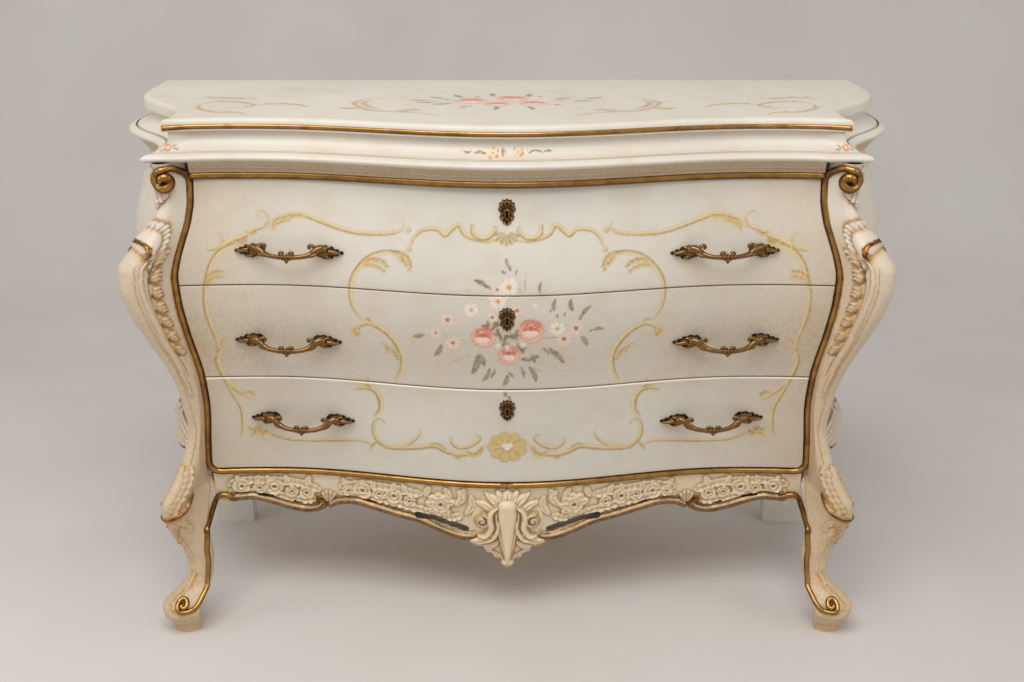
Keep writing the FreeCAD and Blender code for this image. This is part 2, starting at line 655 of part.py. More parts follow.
def rear_post():
    """Plain rear post and leg, whose outer side follows the side panel."""
    start, end = REAR_POST_Y, REAR_POST_Y + REAR_POST_DEPTH
    levels = [240.0 + (MOULDING_Z - 240.0) * i / 14.0 for i in range(15)]
    widths = REAR_POST_FOOT + [(z, side_x(start, z)) for z in levels]
    rows = []
    for z, outer in widths:
        corners = [vec(REAR_POST_INNER, start, z), vec(outer, start, z), vec(outer, end, z),
                   vec(REAR_POST_INNER, end, z)]
        rows.append(Part.makePolygon(corners + corners[:1]))
    return loft(rows, True)


def post_carvings():
    """Carved and gilded work that lies on the right hand post and leg."""
    parts = {}
    parts["scroll_capitals"] = [overlay(CAPITAL)]
    parts["collar_rings"] = [overlay(COLLAR)]
    parts["shoulder_carvings"] = [overlay(SHOULDER_LEAF), overlay(COIN_RIBBON)]
    parts["knee_carvings"] = [overlay(KNEE_LEAF)]
    path = []
    for z in levels_between(*LEG_BEAD_Z)[::-1]:
        x, y = post_edge(z)
        path.append((x + BEAD_FROM_DRAWER - POST_GAP, y - POST_SET_BACK + BEAD_DEPTH, z))
    x, y, z = FOOT_VOLUTE
    volute = Part.makeCylinder(FOOT_VOLUTE_RADIUS, FOOT_VOLUTE_DEPTH, vec(x, y, z), vec(0, 1, 0))
    parts["leg_beads"] = [facet_bar(path, LEG_BEAD_RADIUS), volute]
    return parts


def largest(shape):
    return max(shape.Solids, key=lambda solid: solid.Volume)


def key_cut(z, y0, y1):
    """Keyhole: a round hole with a slot below it."""
    hole = Part.makeCylinder(KEY_RADIUS, y1 - y0, vec(0, y0, z), vec(0, 1, 0))
    slot = box(-1.6, 1.6, y0, y1, z - 12.0, z)
    return hole.fuse(slot)


def pull(x, z):
    """Cast bail pull with two leaf rosettes, standing on the drawer front."""
    def face(dx, dz):
        return front_y(x + dx, z + dz)

    lean = math.atan2(face(0, 10.0) - face(0, -10.0), 20.0)
    path = []
    for t in range(-6, 7):
        dx = PULL_HALF_SPAN * t / 6.0
        bow = 1.0 - abs(t / 6.0) ** 3.0
        reach = PULL_START + (PULL_REACH - PULL_START) * bow
        drop = PULL_DROP * (1.0 - abs(t / 6.0) ** 2.6)
        path.append((x + dx, face(dx, 0) - reach * math.cos(lean) - drop * math.sin(lean),
                     z + reach * math.sin(lean) - drop * math.cos(lean)))
    solid = pipe(path, PULL_ROD)
    for side in (-1, 1):
        px = x + side * PULL_HALF_SPAN
        py = face(side * PULL_HALF_SPAN, 0)
        boss = Part.makeCylinder(6.5, 24.0, vec(px, py - 14.0, z), vec(0, 1, 0))
        knob = Part.makeSphere(7.0, vec(px, py - 12.0, z))
        leaf = [(-19.0, 0.0), (-12.0, 8.0), (0.0, ROSETTE_HEIGHT / 2), (12.0, 8.5), (20.0, 5.0),
                (28.0, 0.0), (20.0, -5.0), (12.0, -8.5), (0.0, -ROSETTE_HEIGHT / 2), (-12.0, -8.0)]
        points = [(px + side * dx, z + dz) for dx, dz in leaf]
        plate = prism_y(points, py - ROSETTE_THICKNESS, py + 14.0)
        solid = solid.fuse([boss, knob, plate])
    return solid


def drawer(number, row):
    """One drawer with its box, lock, pulls and screws."""
    z0, z1 = DRAWER_Z[number]
    name = "drawer_%d_" % (number + 1)
    parts = {}
    front = FRONT_BODY.common(outline_prism(z0, z1, 0.0, rounded=number == 2))
    inside = INSIDE_BODY
    low, high = z0 + BOX_BELOW, z1 - BOX_ABOVE
    half, inner = BOX_HALF_WIDTH, BOX_HALF_WIDTH - BOX_SIDE
    side = inside.common(box(inner, half, 0.0, BOX_BACK_Y, low, high))
    bottom_z = low + BOTTOM_UP
    bottom = inside.common(box(-inner, inner, -80.0, BOX_BACK_Y, bottom_z,
                               bottom_z + BOTTOM_THICKNESS))
    back = box(-inner, inner, BOX_BACK_Y - BOX_SIDE, BOX_BACK_Y, bottom_z + BOTTOM_THICKNESS,
               high - 8.0)

    width, depth, height = LOCK_SIZE
    key_z = z1 - ESCUTCHEON_BELOW_TOP
    lock_y = front_y(0.0, key_z) + FRONT_THICKNESS - 4.0
    lock_top = z1 - TOP_LOCK_BELOW if number == 0 else high
    lock = box(-width / 2, width / 2, lock_y, lock_y + depth, lock_top - height, lock_top)
    bolt_w, bolt_t, bolt_h = BOLT_SIZE
    bolt_y = lock_y + depth - 3.0 - bolt_t
    bolt_top = lock_top - 0.5
    bolt = box(-bolt_w / 2, bolt_w / 2, bolt_y, bolt_y + bolt_t, bolt_top - bolt_h, bolt_top)
    play = BOLT_CLEARANCE
    bolt_way = box(-bolt_w / 2 - play, bolt_w / 2 + play, bolt_y - play, bolt_y + bolt_t + play,
                   bolt_top - bolt_h - play, bolt_top + BOLT_TRAVEL + play)
    lock = lock.cut(bolt_way)
    hole = key_cut(key_z, -120.0, bolt_y - play - 0.5)
    lock = lock.cut(hole)
    cutters = [box(-width / 2, width / 2, lock_y, lock_y + 80.0, lock_top - height, lock_top),
               bolt_way, hole]
    mortise = box(-bolt_w / 2 - 1.5, bolt_w / 2 + 1.5, bolt_y - 1.2, bolt_y + bolt_t + 1.2,
                  lock_top, lock_top + BOLT_TRAVEL + MORTISE_SPARE)

    w, h = ESCUTCHEON_SIZE
    plate = [(0.0, h / 2), (w * 0.3, h * 0.38), (w / 2, h * 0.16), (w * 0.36, -h * 0.12),
             (w * 0.42, -h * 0.3), (w * 0.16, -h * 0.4), (0.0, -h / 2)]
    plate = plate + [(-x, z) for x, z in reversed(plate[1:-1])]
    plate = prism_y([(x, key_z + z) for x, z in plate], -120.0, 200.0, True)
    escutcheon = largest(PLATE_BODY.common(plate).cut(hole))

    screws = []
    pull_x, pull_z = row
    body = pull(pull_x, pull_z)
    for side_x_sign in (-1, 1):
        px = pull_x + side_x_sign * PULL_HALF_SPAN
        py = front_y(px, pull_z)
        shank = Part.makeCylinder(SCREW_RADIUS, FRONT_THICKNESS + 18.0, vec(px, py - 8.0, pull_z),
                                  vec(0, 1, 0))
        nut = Part.makeCylinder(NUT_RADIUS, 12.0, vec(px, py + FRONT_THICKNESS - 4.0, pull_z),
                                vec(0, 1, 0))
        seat = Part.makeCylinder(NUT_RADIUS + 1.0, 30.0,
                                 vec(px, py + FRONT_THICKNESS - 4.0, pull_z), vec(0, 1, 0))
        screw = shank.fuse(nut)
        body = body.cut(shank)
        cutters += [shank, mirrored(shank), seat, mirrored(seat)]
        screws += [mirrored(screw), screw]
    body = largest(body.cut(front))
    pulls = [mirrored(body), body]
    parts[name + "front"] = largest(front.cut(cutters))
    parts[name + "sides"] = [mirrored(side), side]
    parts[name + "back"] = back
    parts[name + "bottom"] = bottom
    parts[name + "lock"] = lock
    parts[name + "lock_bolt"] = bolt
    parts[name + "escutcheon"] = escutcheon
    parts[name + "pulls"] = pulls
    parts[name + "pull_screws"] = screws
    return parts, mortise


def case_parts(mortises):
    """Boards inside the case: rails, runners, bottom and back."""
    parts = {}
    back_y = REAR_POST_Y
    for number, name in ((1, "divider_upper"), (2, "divider_lower")):
        z = (DRAWER_Z[number - 1][0] + DRAWER_Z[number][1]) / 2.0
        half = min(drawer_x(z + 10.0), drawer_x(z - 10.0)) + POST_GAP - JOINT_PLAY
        board = box(-half, half, -80.0, DIVIDER_FRONT + DIVIDER_DEPTH,
                    z - DIVIDER_THICKNESS / 2, z + DIVIDER_THICKNESS / 2)
        parts[name] = largest(CLEAR_BODY.common(board).cut(mortises[number]))
    back_end = BACK_Y - BACK_SETBACK
    back_start = back_end - BACK_THICKNESS
    low = BASE_Z - BASE_THICKNESS
    base = box(-BASE_HALF_WIDTH, BASE_HALF_WIDTH, -60.0, back_start, low, BASE_Z)
    parts["bottom_board"] = largest(APRON_BEHIND.common(base))
    inner = REAR_POST_INNER
    parts["back_panel"] = box(-inner, inner, back_start, back_end, low, CORNICE_Z)
    runners = []
    inner, outer = BOX_HALF_WIDTH - RUNNER_WIDTH, RUNNER_OUTER
    for number, (z0, z1) in enumerate(DRAWER_Z):
        top = z0 + BOX_BELOW - SLIDE_CLEARANCE
        start = DIVIDER_FRONT + DIVIDER_DEPTH
        low = BASE_Z if number == 2 else top - RUNNER_THICKNESS
        shelf = box(inner, outer, start, back_y, low, top)
        guide = box(BOX_HALF_WIDTH + GUIDE_CLEARANCE, outer, start, back_y, top,
                    top + GUIDE_HEIGHT)
        runner = shelf.fuse(guide).removeSplitter()
        runners += [mirrored(runner), runner]
    parts["drawer_runners"] = runners
    return parts


FRONT_BODY = front_slab(0.0, FRONT_THICKNESS, 250.0, 815.0)
INSIDE_BODY = front_slab(FRONT_THICKNESS, 0.0, 250.0, 815.0, BOX_BACK_Y)
PLATE_BODY = front_slab(-3.0, 0.0, 250.0, 815.0)
CLEAR_BODY = front_slab(FRONT_THICKNESS + SLIDE_CLEARANCE, 0.0, 250.0, 815.0, BACK_Y)
APRON_BEHIND = front_slab(APRON_BACKSET + APRON_THICKNESS, 0.0, *APRON_SLAB_Z, flat_back=BACK_Y)


def build():
    parts = top_parts()
    parts.update(frame_bead())
    post = post_body()
    parts["front_post_left"], parts["front_post_right"] = mirrored(post), post
    for name, shapes in post_carvings().items():
        parts[name] = [mirrored(shape) for shape in shapes] + shapes
    parts.update(apron_parts())
    parts.update(side_parts())
    rear = rear_post()
    parts["rear_posts"] = [mirrored(rear), rear]

    mortises = []
    for number in range(3):
        made, mortise = drawer(number, PULL_ROWS[number])
        parts.update(made)
        mortises.append(mortise)
    parts["top_rail"] = largest(parts["top_rail"].cut(mortises[0]))
    parts.update(case_parts(mortises))
    return parts


os.makedirs("parts", exist_ok=True)
Y_MIDDLE = (BACK_Y + FRONT_FLANK_Y - FRONT_SWEEP - LIP_OUT) / 2.0
for node, shape in build().items():
    if isinstance(shape, list):
        shape = Part.makeCompound(shape)
    shape.translate(vec(0, -Y_MIDDLE, 0))
    shape.exportStep("parts/%s.step" % node)
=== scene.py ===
import bpy
import math
import numpy as np
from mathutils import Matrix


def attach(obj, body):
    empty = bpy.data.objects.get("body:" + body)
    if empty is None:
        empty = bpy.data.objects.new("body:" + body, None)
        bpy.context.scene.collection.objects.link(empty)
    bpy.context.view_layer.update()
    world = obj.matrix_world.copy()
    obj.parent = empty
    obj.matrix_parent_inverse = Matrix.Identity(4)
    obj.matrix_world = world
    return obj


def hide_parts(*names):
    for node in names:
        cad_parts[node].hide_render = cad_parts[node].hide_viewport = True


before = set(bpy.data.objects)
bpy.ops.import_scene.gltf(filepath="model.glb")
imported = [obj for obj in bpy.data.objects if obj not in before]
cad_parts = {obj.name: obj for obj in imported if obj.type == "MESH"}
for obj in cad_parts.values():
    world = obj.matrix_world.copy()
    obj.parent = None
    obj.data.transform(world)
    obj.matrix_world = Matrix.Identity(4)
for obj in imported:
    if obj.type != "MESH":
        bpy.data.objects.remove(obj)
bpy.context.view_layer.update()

# Shape of the chest in mm, as it was built. X runs right, Y back from the top's front corners, Z up.
chest = {
    "middleY": 214.0, "topZ": 900.0, "backY": 460.0, "flankX": 412.0, "earX": 553.0, "earY": 48.0,
    "flankY": 65.0, "topSweep": 70.0, "drawerSweep": 62.0, "postY": 128.0, "rearPostY": 418.0,
    "postTop": 833.7, "rebate": 6.5, "earStart": 440.0, "earPower": 2.2,
}
sideCurve = [(547, 76), (546, 108), (548.8, 128), (553, 148), (576, 190), (611, 235), (637, 280),
             (648, 330), (647, 385), (645, 460)]
frontProfile = [(90, 134), (150, 128), (240, 113), (270, 108), (360, 91), (457, 72), (540, 58),
                (600, 51.5), (640, 50), (680, 52), (740, 60), (800, 70), (834, 75)]
drawerEdges = [(240, 527), (286, 524), (324, 521), (408, 514), (457, 516), (544, 531), (600, 539),
               (640, 541), (671, 535), (702, 525), (737, 514), (771, 509), (815, 509)]
drawerRows = [(627.4, 801.4), (456.4, 625.4), (268.0, 454.4)]
sidePinch = [(240, 549), (300, 546), (373, 543), (420, 546), (480, 552), (540, 562), (600, 572),
             (660, 575), (740, 562), (812.5, 548)]
sideSwell = [(240, 618), (300, 613), (360, 614), (420, 630), (480, 648), (540, 666), (600, 678),
             (660, 681), (740, 662), (812.5, 638)]
sideWave = [(60, 0.05), (95, 0.0), (130, 0.01), (160, 0.10), (200, 0.37), (240, 0.68), (280, 0.89),
            (330, 1.0), (385, 0.985), (430, 0.96), (465, 0.95)]
# Height, how far out the ridge reaches, depth of the ridge's centre, radius of the ridge.
postRidge = [(0, 594, 22, 27), (12, 594.5, 20, 27), (26, 598, 10, 27), (40, 606, 2, 27),
             (54, 607, 4, 25), (68, 593, 16, 21), (82, 573, 32, 18), (100, 566, 42, 17),
             (123, 569, 46, 17), (150, 577, 44, 18), (180, 589, 36, 19), (210, 597, 30, 20),
             (235, 596, 28, 20), (260, 584, 35, 19), (290, 570, 46, 17), (325, 559, 56, 16),
             (365, 551, 63, 16), (405, 555, 59, 17), (446, 561, 51, 18), (500, 577, 35, 20),
             (541, 594, 21, 22), (600, 616, 3, 24), (640, 624.5, -2, 25), (668, 625, 1, 25),
             (690, 613, 10, 23), (706, 598, 20, 20), (722, 585, 30, 17), (745, 569, 43, 15),
             (775, 561, 50, 14), (806, 562, 48, 15), (833.7, 568, 42, 16)]
legInner = [(0, 542, 4), (12, 541, 0), (26, 541, -8), (40, 538, -14), (54, 534, -8), (68, 528, 6),
            (82, 523, 20), (100, 520, 30), (123, 519, 36), (150, 524, 46), (180, 529, 62),
            (210, 527, 82), (235, 526, 99)]
legRear = [(0, 583, 47), (12, 583, 46), (26, 584, 44), (40, 586, 46), (54, 586, 50), (68, 580, 58),
           (82, 570, 66), (100, 562, 74), (123, 560, 80), (150, 564, 88), (180, 570, 98),
           (210, 568, 112), (235, 558, 124)]
apronEdge = [(0, 148), (40, 146), (75, 143), (112, 152), (156, 170), (192, 177), (241, 189),
             (272, 196), (302, 194), (322, 184), (341, 176), (366, 172), (395, 178), (428, 190),
             (459, 199), (484, 198), (507, 186)]


def smooth(table, value, column=1):
    # Value of a table with slopes that never overshoot, for one number or an array.
    keys = np.array([row[0] for row in table], float)
    data = np.array([row[column] for row in table], float)
    value = np.clip(np.asarray(value, float), keys[0], keys[-1])
    steps = np.diff(data) / np.diff(keys)
    both = steps[:-1] * steps[1:]
    total = np.where(steps[:-1] + steps[1:] == 0, 1.0, steps[:-1] + steps[1:])
    slopes = np.concatenate([steps[:1], np.where(both > 0, 2 * both / total, 0.0), steps[-1:]])
    i = np.clip(np.searchsorted(keys, value, side="right") - 1, 0, len(keys) - 2)
    span = keys[i + 1] - keys[i]
    t = (value - keys[i]) / span
    near = data[i] * (1 + 2 * t) * (1 - t) ** 2 + slopes[i] * span * t * (1 - t) ** 2
    far = data[i + 1] * t * t * (3 - 2 * t) - slopes[i + 1] * span * t * t * (1 - t)
    return near + far


def sweep(x):
    return 0.5 * (1 + np.cos(np.pi * np.minimum(np.abs(x), chest["flankX"]) / chest["flankX"]))


def frontY(x, z):
    corner = 6.0 * np.maximum(0.0, (np.abs(x) - chest["flankX"]) / 125.0) ** 2
    return smooth(frontProfile, z) - chest["drawerSweep"] * sweep(x) - corner


def sideX(y, z):
    pinch = smooth(sidePinch, z)
    return pinch + (smooth(sideSwell, z) - pinch) * smooth(sideWave, y)


def topFrontY(x):
    reach = chest["earX"] - chest["earStart"]
    ear = np.maximum(0.0, (np.abs(x) - chest["earStart"]) / reach) ** chest["earPower"]
    return chest["flankY"] - chest["topSweep"] * sweep(x) - (chest["flankY"] - chest["earY"]) * ear


def flow(points, spacing=1.0):
    # Smooth line through the points, as closely spaced points.
    p = np.array(points, float)
    ends = np.vstack([2 * p[0] - p[1], p, 2 * p[-1] - p[-2]])
    runs = []
    for a, b, c, d in zip(ends, ends[1:], ends[2:], ends[3:]):
        count = max(2, int(np.linalg.norm(c - b) / spacing))
        t = np.linspace(0, 1, count, endpoint=False)[:, None]
        runs.append(0.5 * (2 * b + (c - a) * t + (2 * a - 5 * b + 4 * c - d) * t ** 2
                           + (3 * b - a - 3 * c + d) * t ** 3))
    return np.vstack(runs + [p[-1:]])


def evenly(path, count):
    steps = np.linalg.norm(np.diff(path, axis=0), axis=1)
    run = np.concatenate([[0], np.cumsum(steps)])
    places = np.linspace(0, run[-1], count)
    return np.stack([np.interp(places, run, path[:, k]) for k in range(path.shape[1])], 1)


def shifted(points, distance):
    # The line moved to its right hand side.
    p = np.array(points, float)
    heading = np.vstack([p[1] - p[0], p[2:] - p[:-2], p[-1] - p[-2]])
    heading /= np.linalg.norm(heading, axis=1)[:, None]
    return p + distance * np.stack([heading[:, 1], -heading[:, 0]], 1)


def spiral(x, z, radius, turns, start, way=1, inner=0.12):
    # Scroll from its outer end to its eye, the angle in degrees.
    t = np.linspace(0, 1, int(40 * turns) + 8)
    angle = math.radians(start) + way * t * turns * 2 * math.pi
    size = radius * (1 - t * (1 - inner))
    return np.stack([x + size * np.cos(angle), z + size * np.sin(angle)], 1)


# Sheets: flat maps in mm that hold painted colour, carved height and gilding, read by the meshes.


def linear(hexColour):
    # sRGB hex to linear light.
    parts = [int(hexColour[i:i + 2], 16) / 255 for i in (1, 3, 5)]
    return [v / 12.92 if v <= 0.04045 else ((v + 0.055) / 1.055) ** 2.4 for v in parts]


def newSheet(x0, x1, z0, z1, step=1.0):
    shape = (int(round((z1 - z0) / step)) + 1, int(round((x1 - x0) / step)) + 1)
    return {"x0": x0, "z0": z0, "step": step, "colour": np.zeros(shape + (3,)),
            "cover": np.zeros(shape), "height": np.zeros(shape), "gilt": np.zeros(shape)}


def sample(sheet, layer, x, z):
    data = sheet[layer]
    c = np.clip((x - sheet["x0"]) / sheet["step"], 0, data.shape[1] - 1.001)
    r = np.clip((z - sheet["z0"]) / sheet["step"], 0, data.shape[0] - 1.001)
    ci, ri = c.astype(int), r.astype(int)
    cf, rf = c - ci, r - ri
    if data.ndim == 3:
        cf, rf = cf[..., None], rf[..., None]
    low = data[ri, ci] * (1 - cf) + data[ri, ci + 1] * cf
    high = data[ri + 1, ci] * (1 - cf) + data[ri + 1, ci + 1] * cf
    return low * (1 - rf) + high * rf


def cellsNear(sheet, path, width):
    # Cells close to a path: window, distance as a share of the width, place along it, side.
    path = np.asarray(path, float)
    width = np.broadcast_to(np.asarray(width, float), len(path))
    step, pad = sheet["step"], width.max() + sheet["step"]
    rows, cols = sheet["cover"].shape
    low, high = path.min(0) - pad, path.max(0) + pad
    c0 = max(int((low[0] - sheet["x0"]) / step), 0)
    r0 = max(int((low[1] - sheet["z0"]) / step), 0)
    c1 = max(min(int((high[0] - sheet["x0"]) / step) + 1, cols), c0)
    r1 = max(min(int((high[1] - sheet["z0"]) / step) + 1, rows), r0)
    xs = sheet["x0"] + step * np.arange(c0, c1)
    zs = sheet["z0"] + step * np.arange(r0, r1)
    dx = np.repeat(xs[None, :], len(zs), 0)[..., None] - path[:, 0]
    dz = np.repeat(zs[:, None], len(xs), 1)[..., None] - path[:, 1]
    share = np.sqrt(dx * dx + dz * dz) / np.maximum(width, 1e-3)
    best = share.argmin(-1)
    heading = np.gradient(path, axis=0)
    row, column = np.indices(best.shape)
    cross = heading[best, 0] * dz[row, column, best] - heading[best, 1] * dx[row, column, best]
    across = share.min(-1)
    return (slice(r0, r1), slice(c0, c1)), across, best / max(len(path) - 1, 1), np.sign(cross)


def taper(path, width, kind="both"):
    t = np.linspace(0, 1, len(path))
    if kind == "both":
        return width * (0.16 + 0.84 * np.sin(np.pi * t) ** 0.7)
    if kind == "end":
        return width * (1.0 - 0.85 * t ** 1.4)
    if kind == "start":
        return width * (0.15 + 0.85 * t ** 0.8)
    return width * np.ones(len(path))


def underStroke(sheet, points, width, kind="even", smoothPath=True):
    # Cells under a stroke: along a smooth line through the points, or along the points themselves.
    path = flow(points, sheet["step"] * 0.8) if smoothPath else np.array(points, float)
    return cellsNear(sheet, path, taper(path, width, kind))


def sheetAxes(sheet):
    rows, cols = sheet["cover"].shape
    xs = sheet["x0"] + sheet["step"] * np.arange(cols)
    return xs, sheet["z0"] + sheet["step"] * np.arange(rows)


def sided(way, points):
    # The points themselves, or mirrored where way is -1.
    return [(way * x, z) for x, z in points]


def paintLine(sheet, points, width, light, dark, kind="both", strength=0.9, edge=0.45,
              smoothPath=True):
    # Brush stroke whose right hand side is shaded with the dark colour.
    window, across, along, side = underStroke(sheet, points, width, kind, smoothPath)
    cover = np.clip((1 - across) / edge, 0, 1) * strength
    turn = np.clip(0.5 - 0.75 * side * across, 0, 1)[..., None]
    colour = np.array(linear(light)) * (1 - turn) + np.array(linear(dark)) * turn
    lay(sheet, window, cover, colour)


def lay(sheet, window, cover, colour):
    old = sheet["cover"][window]
    total = cover + old * (1 - cover)
    share = np.where(total > 1e-6, cover / np.maximum(total, 1e-6), 0)[..., None]
    sheet["colour"][window] = sheet["colour"][window] * (1 - share) + colour * share
    sheet["cover"][window] = total


def wash(sheet, amount, hexColour):
    # Thin colour over the whole sheet.
    lay(sheet, (slice(None), slice(None)), amount, np.array(linear(hexColour)))


def paintSpot(sheet, x, z, size, colour, strength=0.9, edge=0.6):
    window, across = cellsNear(sheet, [(x, z), (x + 0.01, z)], size)[:2]
    lay(sheet, window, np.clip((1 - across) / edge, 0, 1) * strength, np.array(linear(colour)))


def keepHigher(sheet, window, inside, rise, gilt):
    # New carving shows where it stands above the old, and brings its own gilding.
    higher = inside & (rise > sheet["height"][window])
    sheet["height"][window] = np.where(higher, rise, sheet["height"][window])
    sheet["gilt"][window] = np.where(higher, gilt, sheet["gilt"][window])


def raiseLine(sheet, points, width, height, gilt=0.0, kind="even", shape=0.5, smoothPath=True):
    # Carved bar along a path, rounded across.
    window, across = underStroke(sheet, points, width, kind, smoothPath)[:2]
    rise = height * np.clip(1 - across ** 2, 0, 1) ** shape
    keepHigher(sheet, window, across < 1, rise, gilt)


def clearBand(sheet, points, width, level=-1.5):
    # Ground cut back along a path, so that the next bar stands free.
    window, across = underStroke(sheet, points, width)[:2]
    height = sheet["height"][window]
    sheet["height"][window] = np.where(across < 1, np.minimum(height, level), height)


def carveLine(sheet, points, width, depth, kind="both"):
    # Groove cut along a path.
    window, across = underStroke(sheet, points, width, kind)[:2]
    sheet["height"][window] -= depth * np.clip(1 - across, 0, 1) ** 1.3


def raiseLeaf(sheet, points, width, height, veins=5, gilt=0.0):
    # Leaf along a path with a groove down its middle and slanting veins.
    window, across, along = underStroke(sheet, points, width, "both")[:3]
    body = np.clip(1 - across ** 2.2, 0, 1) ** 0.6
    middle = 0.45 * np.exp(-(across / 0.14) ** 2)
    ripple = 0.18 * np.cos((along * veins - across * 0.9) * 2 * np.pi) * np.clip(across * 2, 0, 1)
    keepHigher(sheet, window, across < 1, height * body * (1 - middle + ripple), gilt)


def raiseScroll(sheet, x, z, radius, turns, start, way, width, height, gilt=0.0):
    path = spiral(x, z, radius, turns, start, way)
    raiseLine(sheet, path, width * 0.85, height, gilt, smoothPath=False)
    raiseLine(sheet, [(x - 0.5, z), (x + 0.5, z)], width * 0.9, height * 1.25, gilt)


def raiseShell(sheet, x, z, radius, first, last, ribs, height, gilt=0.0):
    # Fan of ribs that swell towards the rim.
    for i in range(ribs):
        angle = math.radians(first + (last - first) * i / (ribs - 1.0))
        reach = radius * (0.9 + 0.1 * math.cos((i / (ribs - 1.0) - 0.5) * math.pi))
        tip = (x + reach * math.cos(angle), z + reach * math.sin(angle))
        root = (x + 0.16 * reach * math.cos(angle), z + 0.16 * reach * math.sin(angle))
        spread = abs(math.radians(last - first)) * radius / ribs * 0.62
        raiseLine(sheet, [root, tip], spread, height, gilt, "start")


def raiseRuffle(sheet, points, reach, height, lobes, side=0, gilt=0.0, smoothPath=True):
    # Cupped band with a scalloped rim, on one side of the path or on both.
    window, across, along, where = underStroke(sheet, points, reach, "even", smoothPath)
    lobe = np.abs(np.sin(np.pi * lobes * along))
    out = across / (0.74 + 0.26 * lobe ** 0.7)
    rise = height * (0.35 + 0.65 * out) * (0.45 + 0.55 * lobe ** 0.55)
    inside = out < 1
    if side:
        inside &= where * side > 0
    keepHigher(sheet, window, inside, rise, gilt)


def raiseWhorl(sheet, x, z, radius, height, lobes, start=0.0):
    # Ruffle curled round a drilled eye.
    ring = spiral(x, z, radius * 0.42, 1.0, start, 1, 0.95)
    raiseRuffle(sheet, ring, radius * 0.6, height, lobes, smoothPath=False)
    raiseLine(sheet, spiral(x, z, radius * 0.36, 1.0, start, 1, 0.9), radius * 0.14, height * 0.8,
              smoothPath=False)
    carveLine(sheet, [(x - 0.4, z), (x, z + 0.4), (x + 0.4, z)], radius * 0.3, height * 0.9, "even")


def blur(data, reach):
    # Mean over a square, run twice.
    for axis in (0, 1, 0, 1):
        padded = np.concatenate([np.take(data, [0] * (reach + 1), axis), data,
                                 np.take(data, [-1] * reach, axis)], axis)
        total = np.cumsum(padded, axis)
        size = data.shape[axis]
        high = np.take(total, range(2 * reach + 1, 2 * reach + 1 + size), axis)
        low = np.take(total, range(size), axis)
        data = (high - low) / (2 * reach + 1.0)
    return data


# Colours of the ageing glaze: it lies in the recesses and thins out on the raised places, and so also
# paints shade into the recesses, darkest in umber in the fine ones.
glaze = {"ochre": "#c08d42", "umberAndShade": "#5a3812", "reach": 4, "fineReach": 2}


def antiqued(sheet, overall, strength, deep=0.85):
    # Adds the glaze to a carved sheet from its own relief, as glaze and as painted shade in the
    # hollows.
    height = sheet["height"]
    hollow = np.clip((blur(height, glaze["reach"]) - height) / 1.7, 0, 1)
    fine = np.clip((blur(height, glaze["fineReach"]) - height) / 0.8, 0, 1)
    amount = (overall + strength * hollow) * (1 - 0.6 * sheet["gilt"])
    wash(sheet, np.clip(amount, 0, 0.9), glaze["ochre"])
    wash(sheet, np.clip(fine * deep, 0, 0.85), glaze["umberAndShade"])


# Meshes from grids of points.


def toRow(points):
    moved = np.array(points, float)
    moved[..., 1] -= chest["middleY"]
    return moved / 1000.0


def grid(points, sheet=None, x=None, z=None, wrap=False, keep=None, flip=False):
    # One patch: points by row and column, with the sheet that colours it.
    patch = {"at": np.array(points, float), "wrap": wrap, "keep": keep, "flip": flip}
    if sheet is not None:
        patch["paint"] = np.concatenate([sample(sheet, "colour", x, z),
                                         sample(sheet, "cover", x, z)[..., None]], -1)
        patch["gilt"] = sample(sheet, "gilt", x, z)
    return patch


def mirror(patch):
    other = dict(patch)
    other["at"] = patch["at"] * np.array([-1.0, 1.0, 1.0])
    other["flip"] = not patch["flip"]
    return other


def bothSides(patches):
    return patches + [mirror(patch) for patch in patches]


def addPiece(name, patches, material, body="chest", nodes=(),
             tint=("#b98f52", 0.12)):
    # Joins the patches in one mesh, smooth inside each patch and creased between them.
    # Patches without a sheet take the tint: a colour and how much of it.
    places, quads, paints, gilts, start = [], [], [], [], 0
    for patch in patches:
        rows, cols = patch["at"].shape[:2]
        index = np.arange(rows * cols).reshape(rows, cols) + start
        if patch["wrap"]:
            index = np.hstack([index, index[:, :1]])
        corners = [index[:-1, :-1], index[:-1, 1:], index[1:, 1:], index[1:, :-1]]
        if patch["flip"]:
            corners.reverse()
        faces = np.stack(corners, -1).reshape(-1, 4)
        if patch["keep"] is not None:
            faces = faces[patch["keep"].reshape(-1)]
        places.append(toRow(patch["at"]).reshape(-1, 3))
        quads.append(faces)
        count = rows * cols
        plain = np.tile(linear(tint[0]) + [tint[1]], (count, 1))
        paints.append(patch["paint"].reshape(-1, 4) if "paint" in patch else plain)
        gilts.append(patch["gilt"].reshape(-1) if "gilt" in patch else np.zeros(count))
        start += count
    places, quads = np.concatenate(places), np.concatenate(quads)
    mesh = bpy.data.meshes.new(name)
    mesh.vertices.add(len(places))
    mesh.vertices.foreach_set("co", places.astype(np.float32).ravel())
    mesh.loops.add(quads.size)
    mesh.loops.foreach_set("vertex_index", quads.astype(np.int32).ravel())
    mesh.polygons.add(len(quads))
    mesh.polygons.foreach_set("loop_start", np.arange(0, quads.size, 4, dtype=np.int32))
    mesh.polygons.foreach_set("loop_total", np.full(len(quads), 4, dtype=np.int32))
    mesh.polygons.foreach_set("use_smooth", np.ones(len(quads), dtype=bool))
    mesh.update(calc_edges=True)
    mesh.validate()
    colour = mesh.color_attributes.new("paint", "FLOAT_COLOR", "POINT")
    colour.data.foreach_set("color", np.concatenate(paints).astype(np.float32).ravel())
    gilding = mesh.attributes.new("gilt", "FLOAT", "POINT")
    gilding.data.foreach_set("value", np.concatenate(gilts).astype(np.float32))
    mesh.materials.append(material)
    obj = bpy.data.objects.new(name, mesh)
    bpy.context.scene.collection.objects.link(obj)
    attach(obj, body)
    if nodes:
        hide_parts(*nodes)


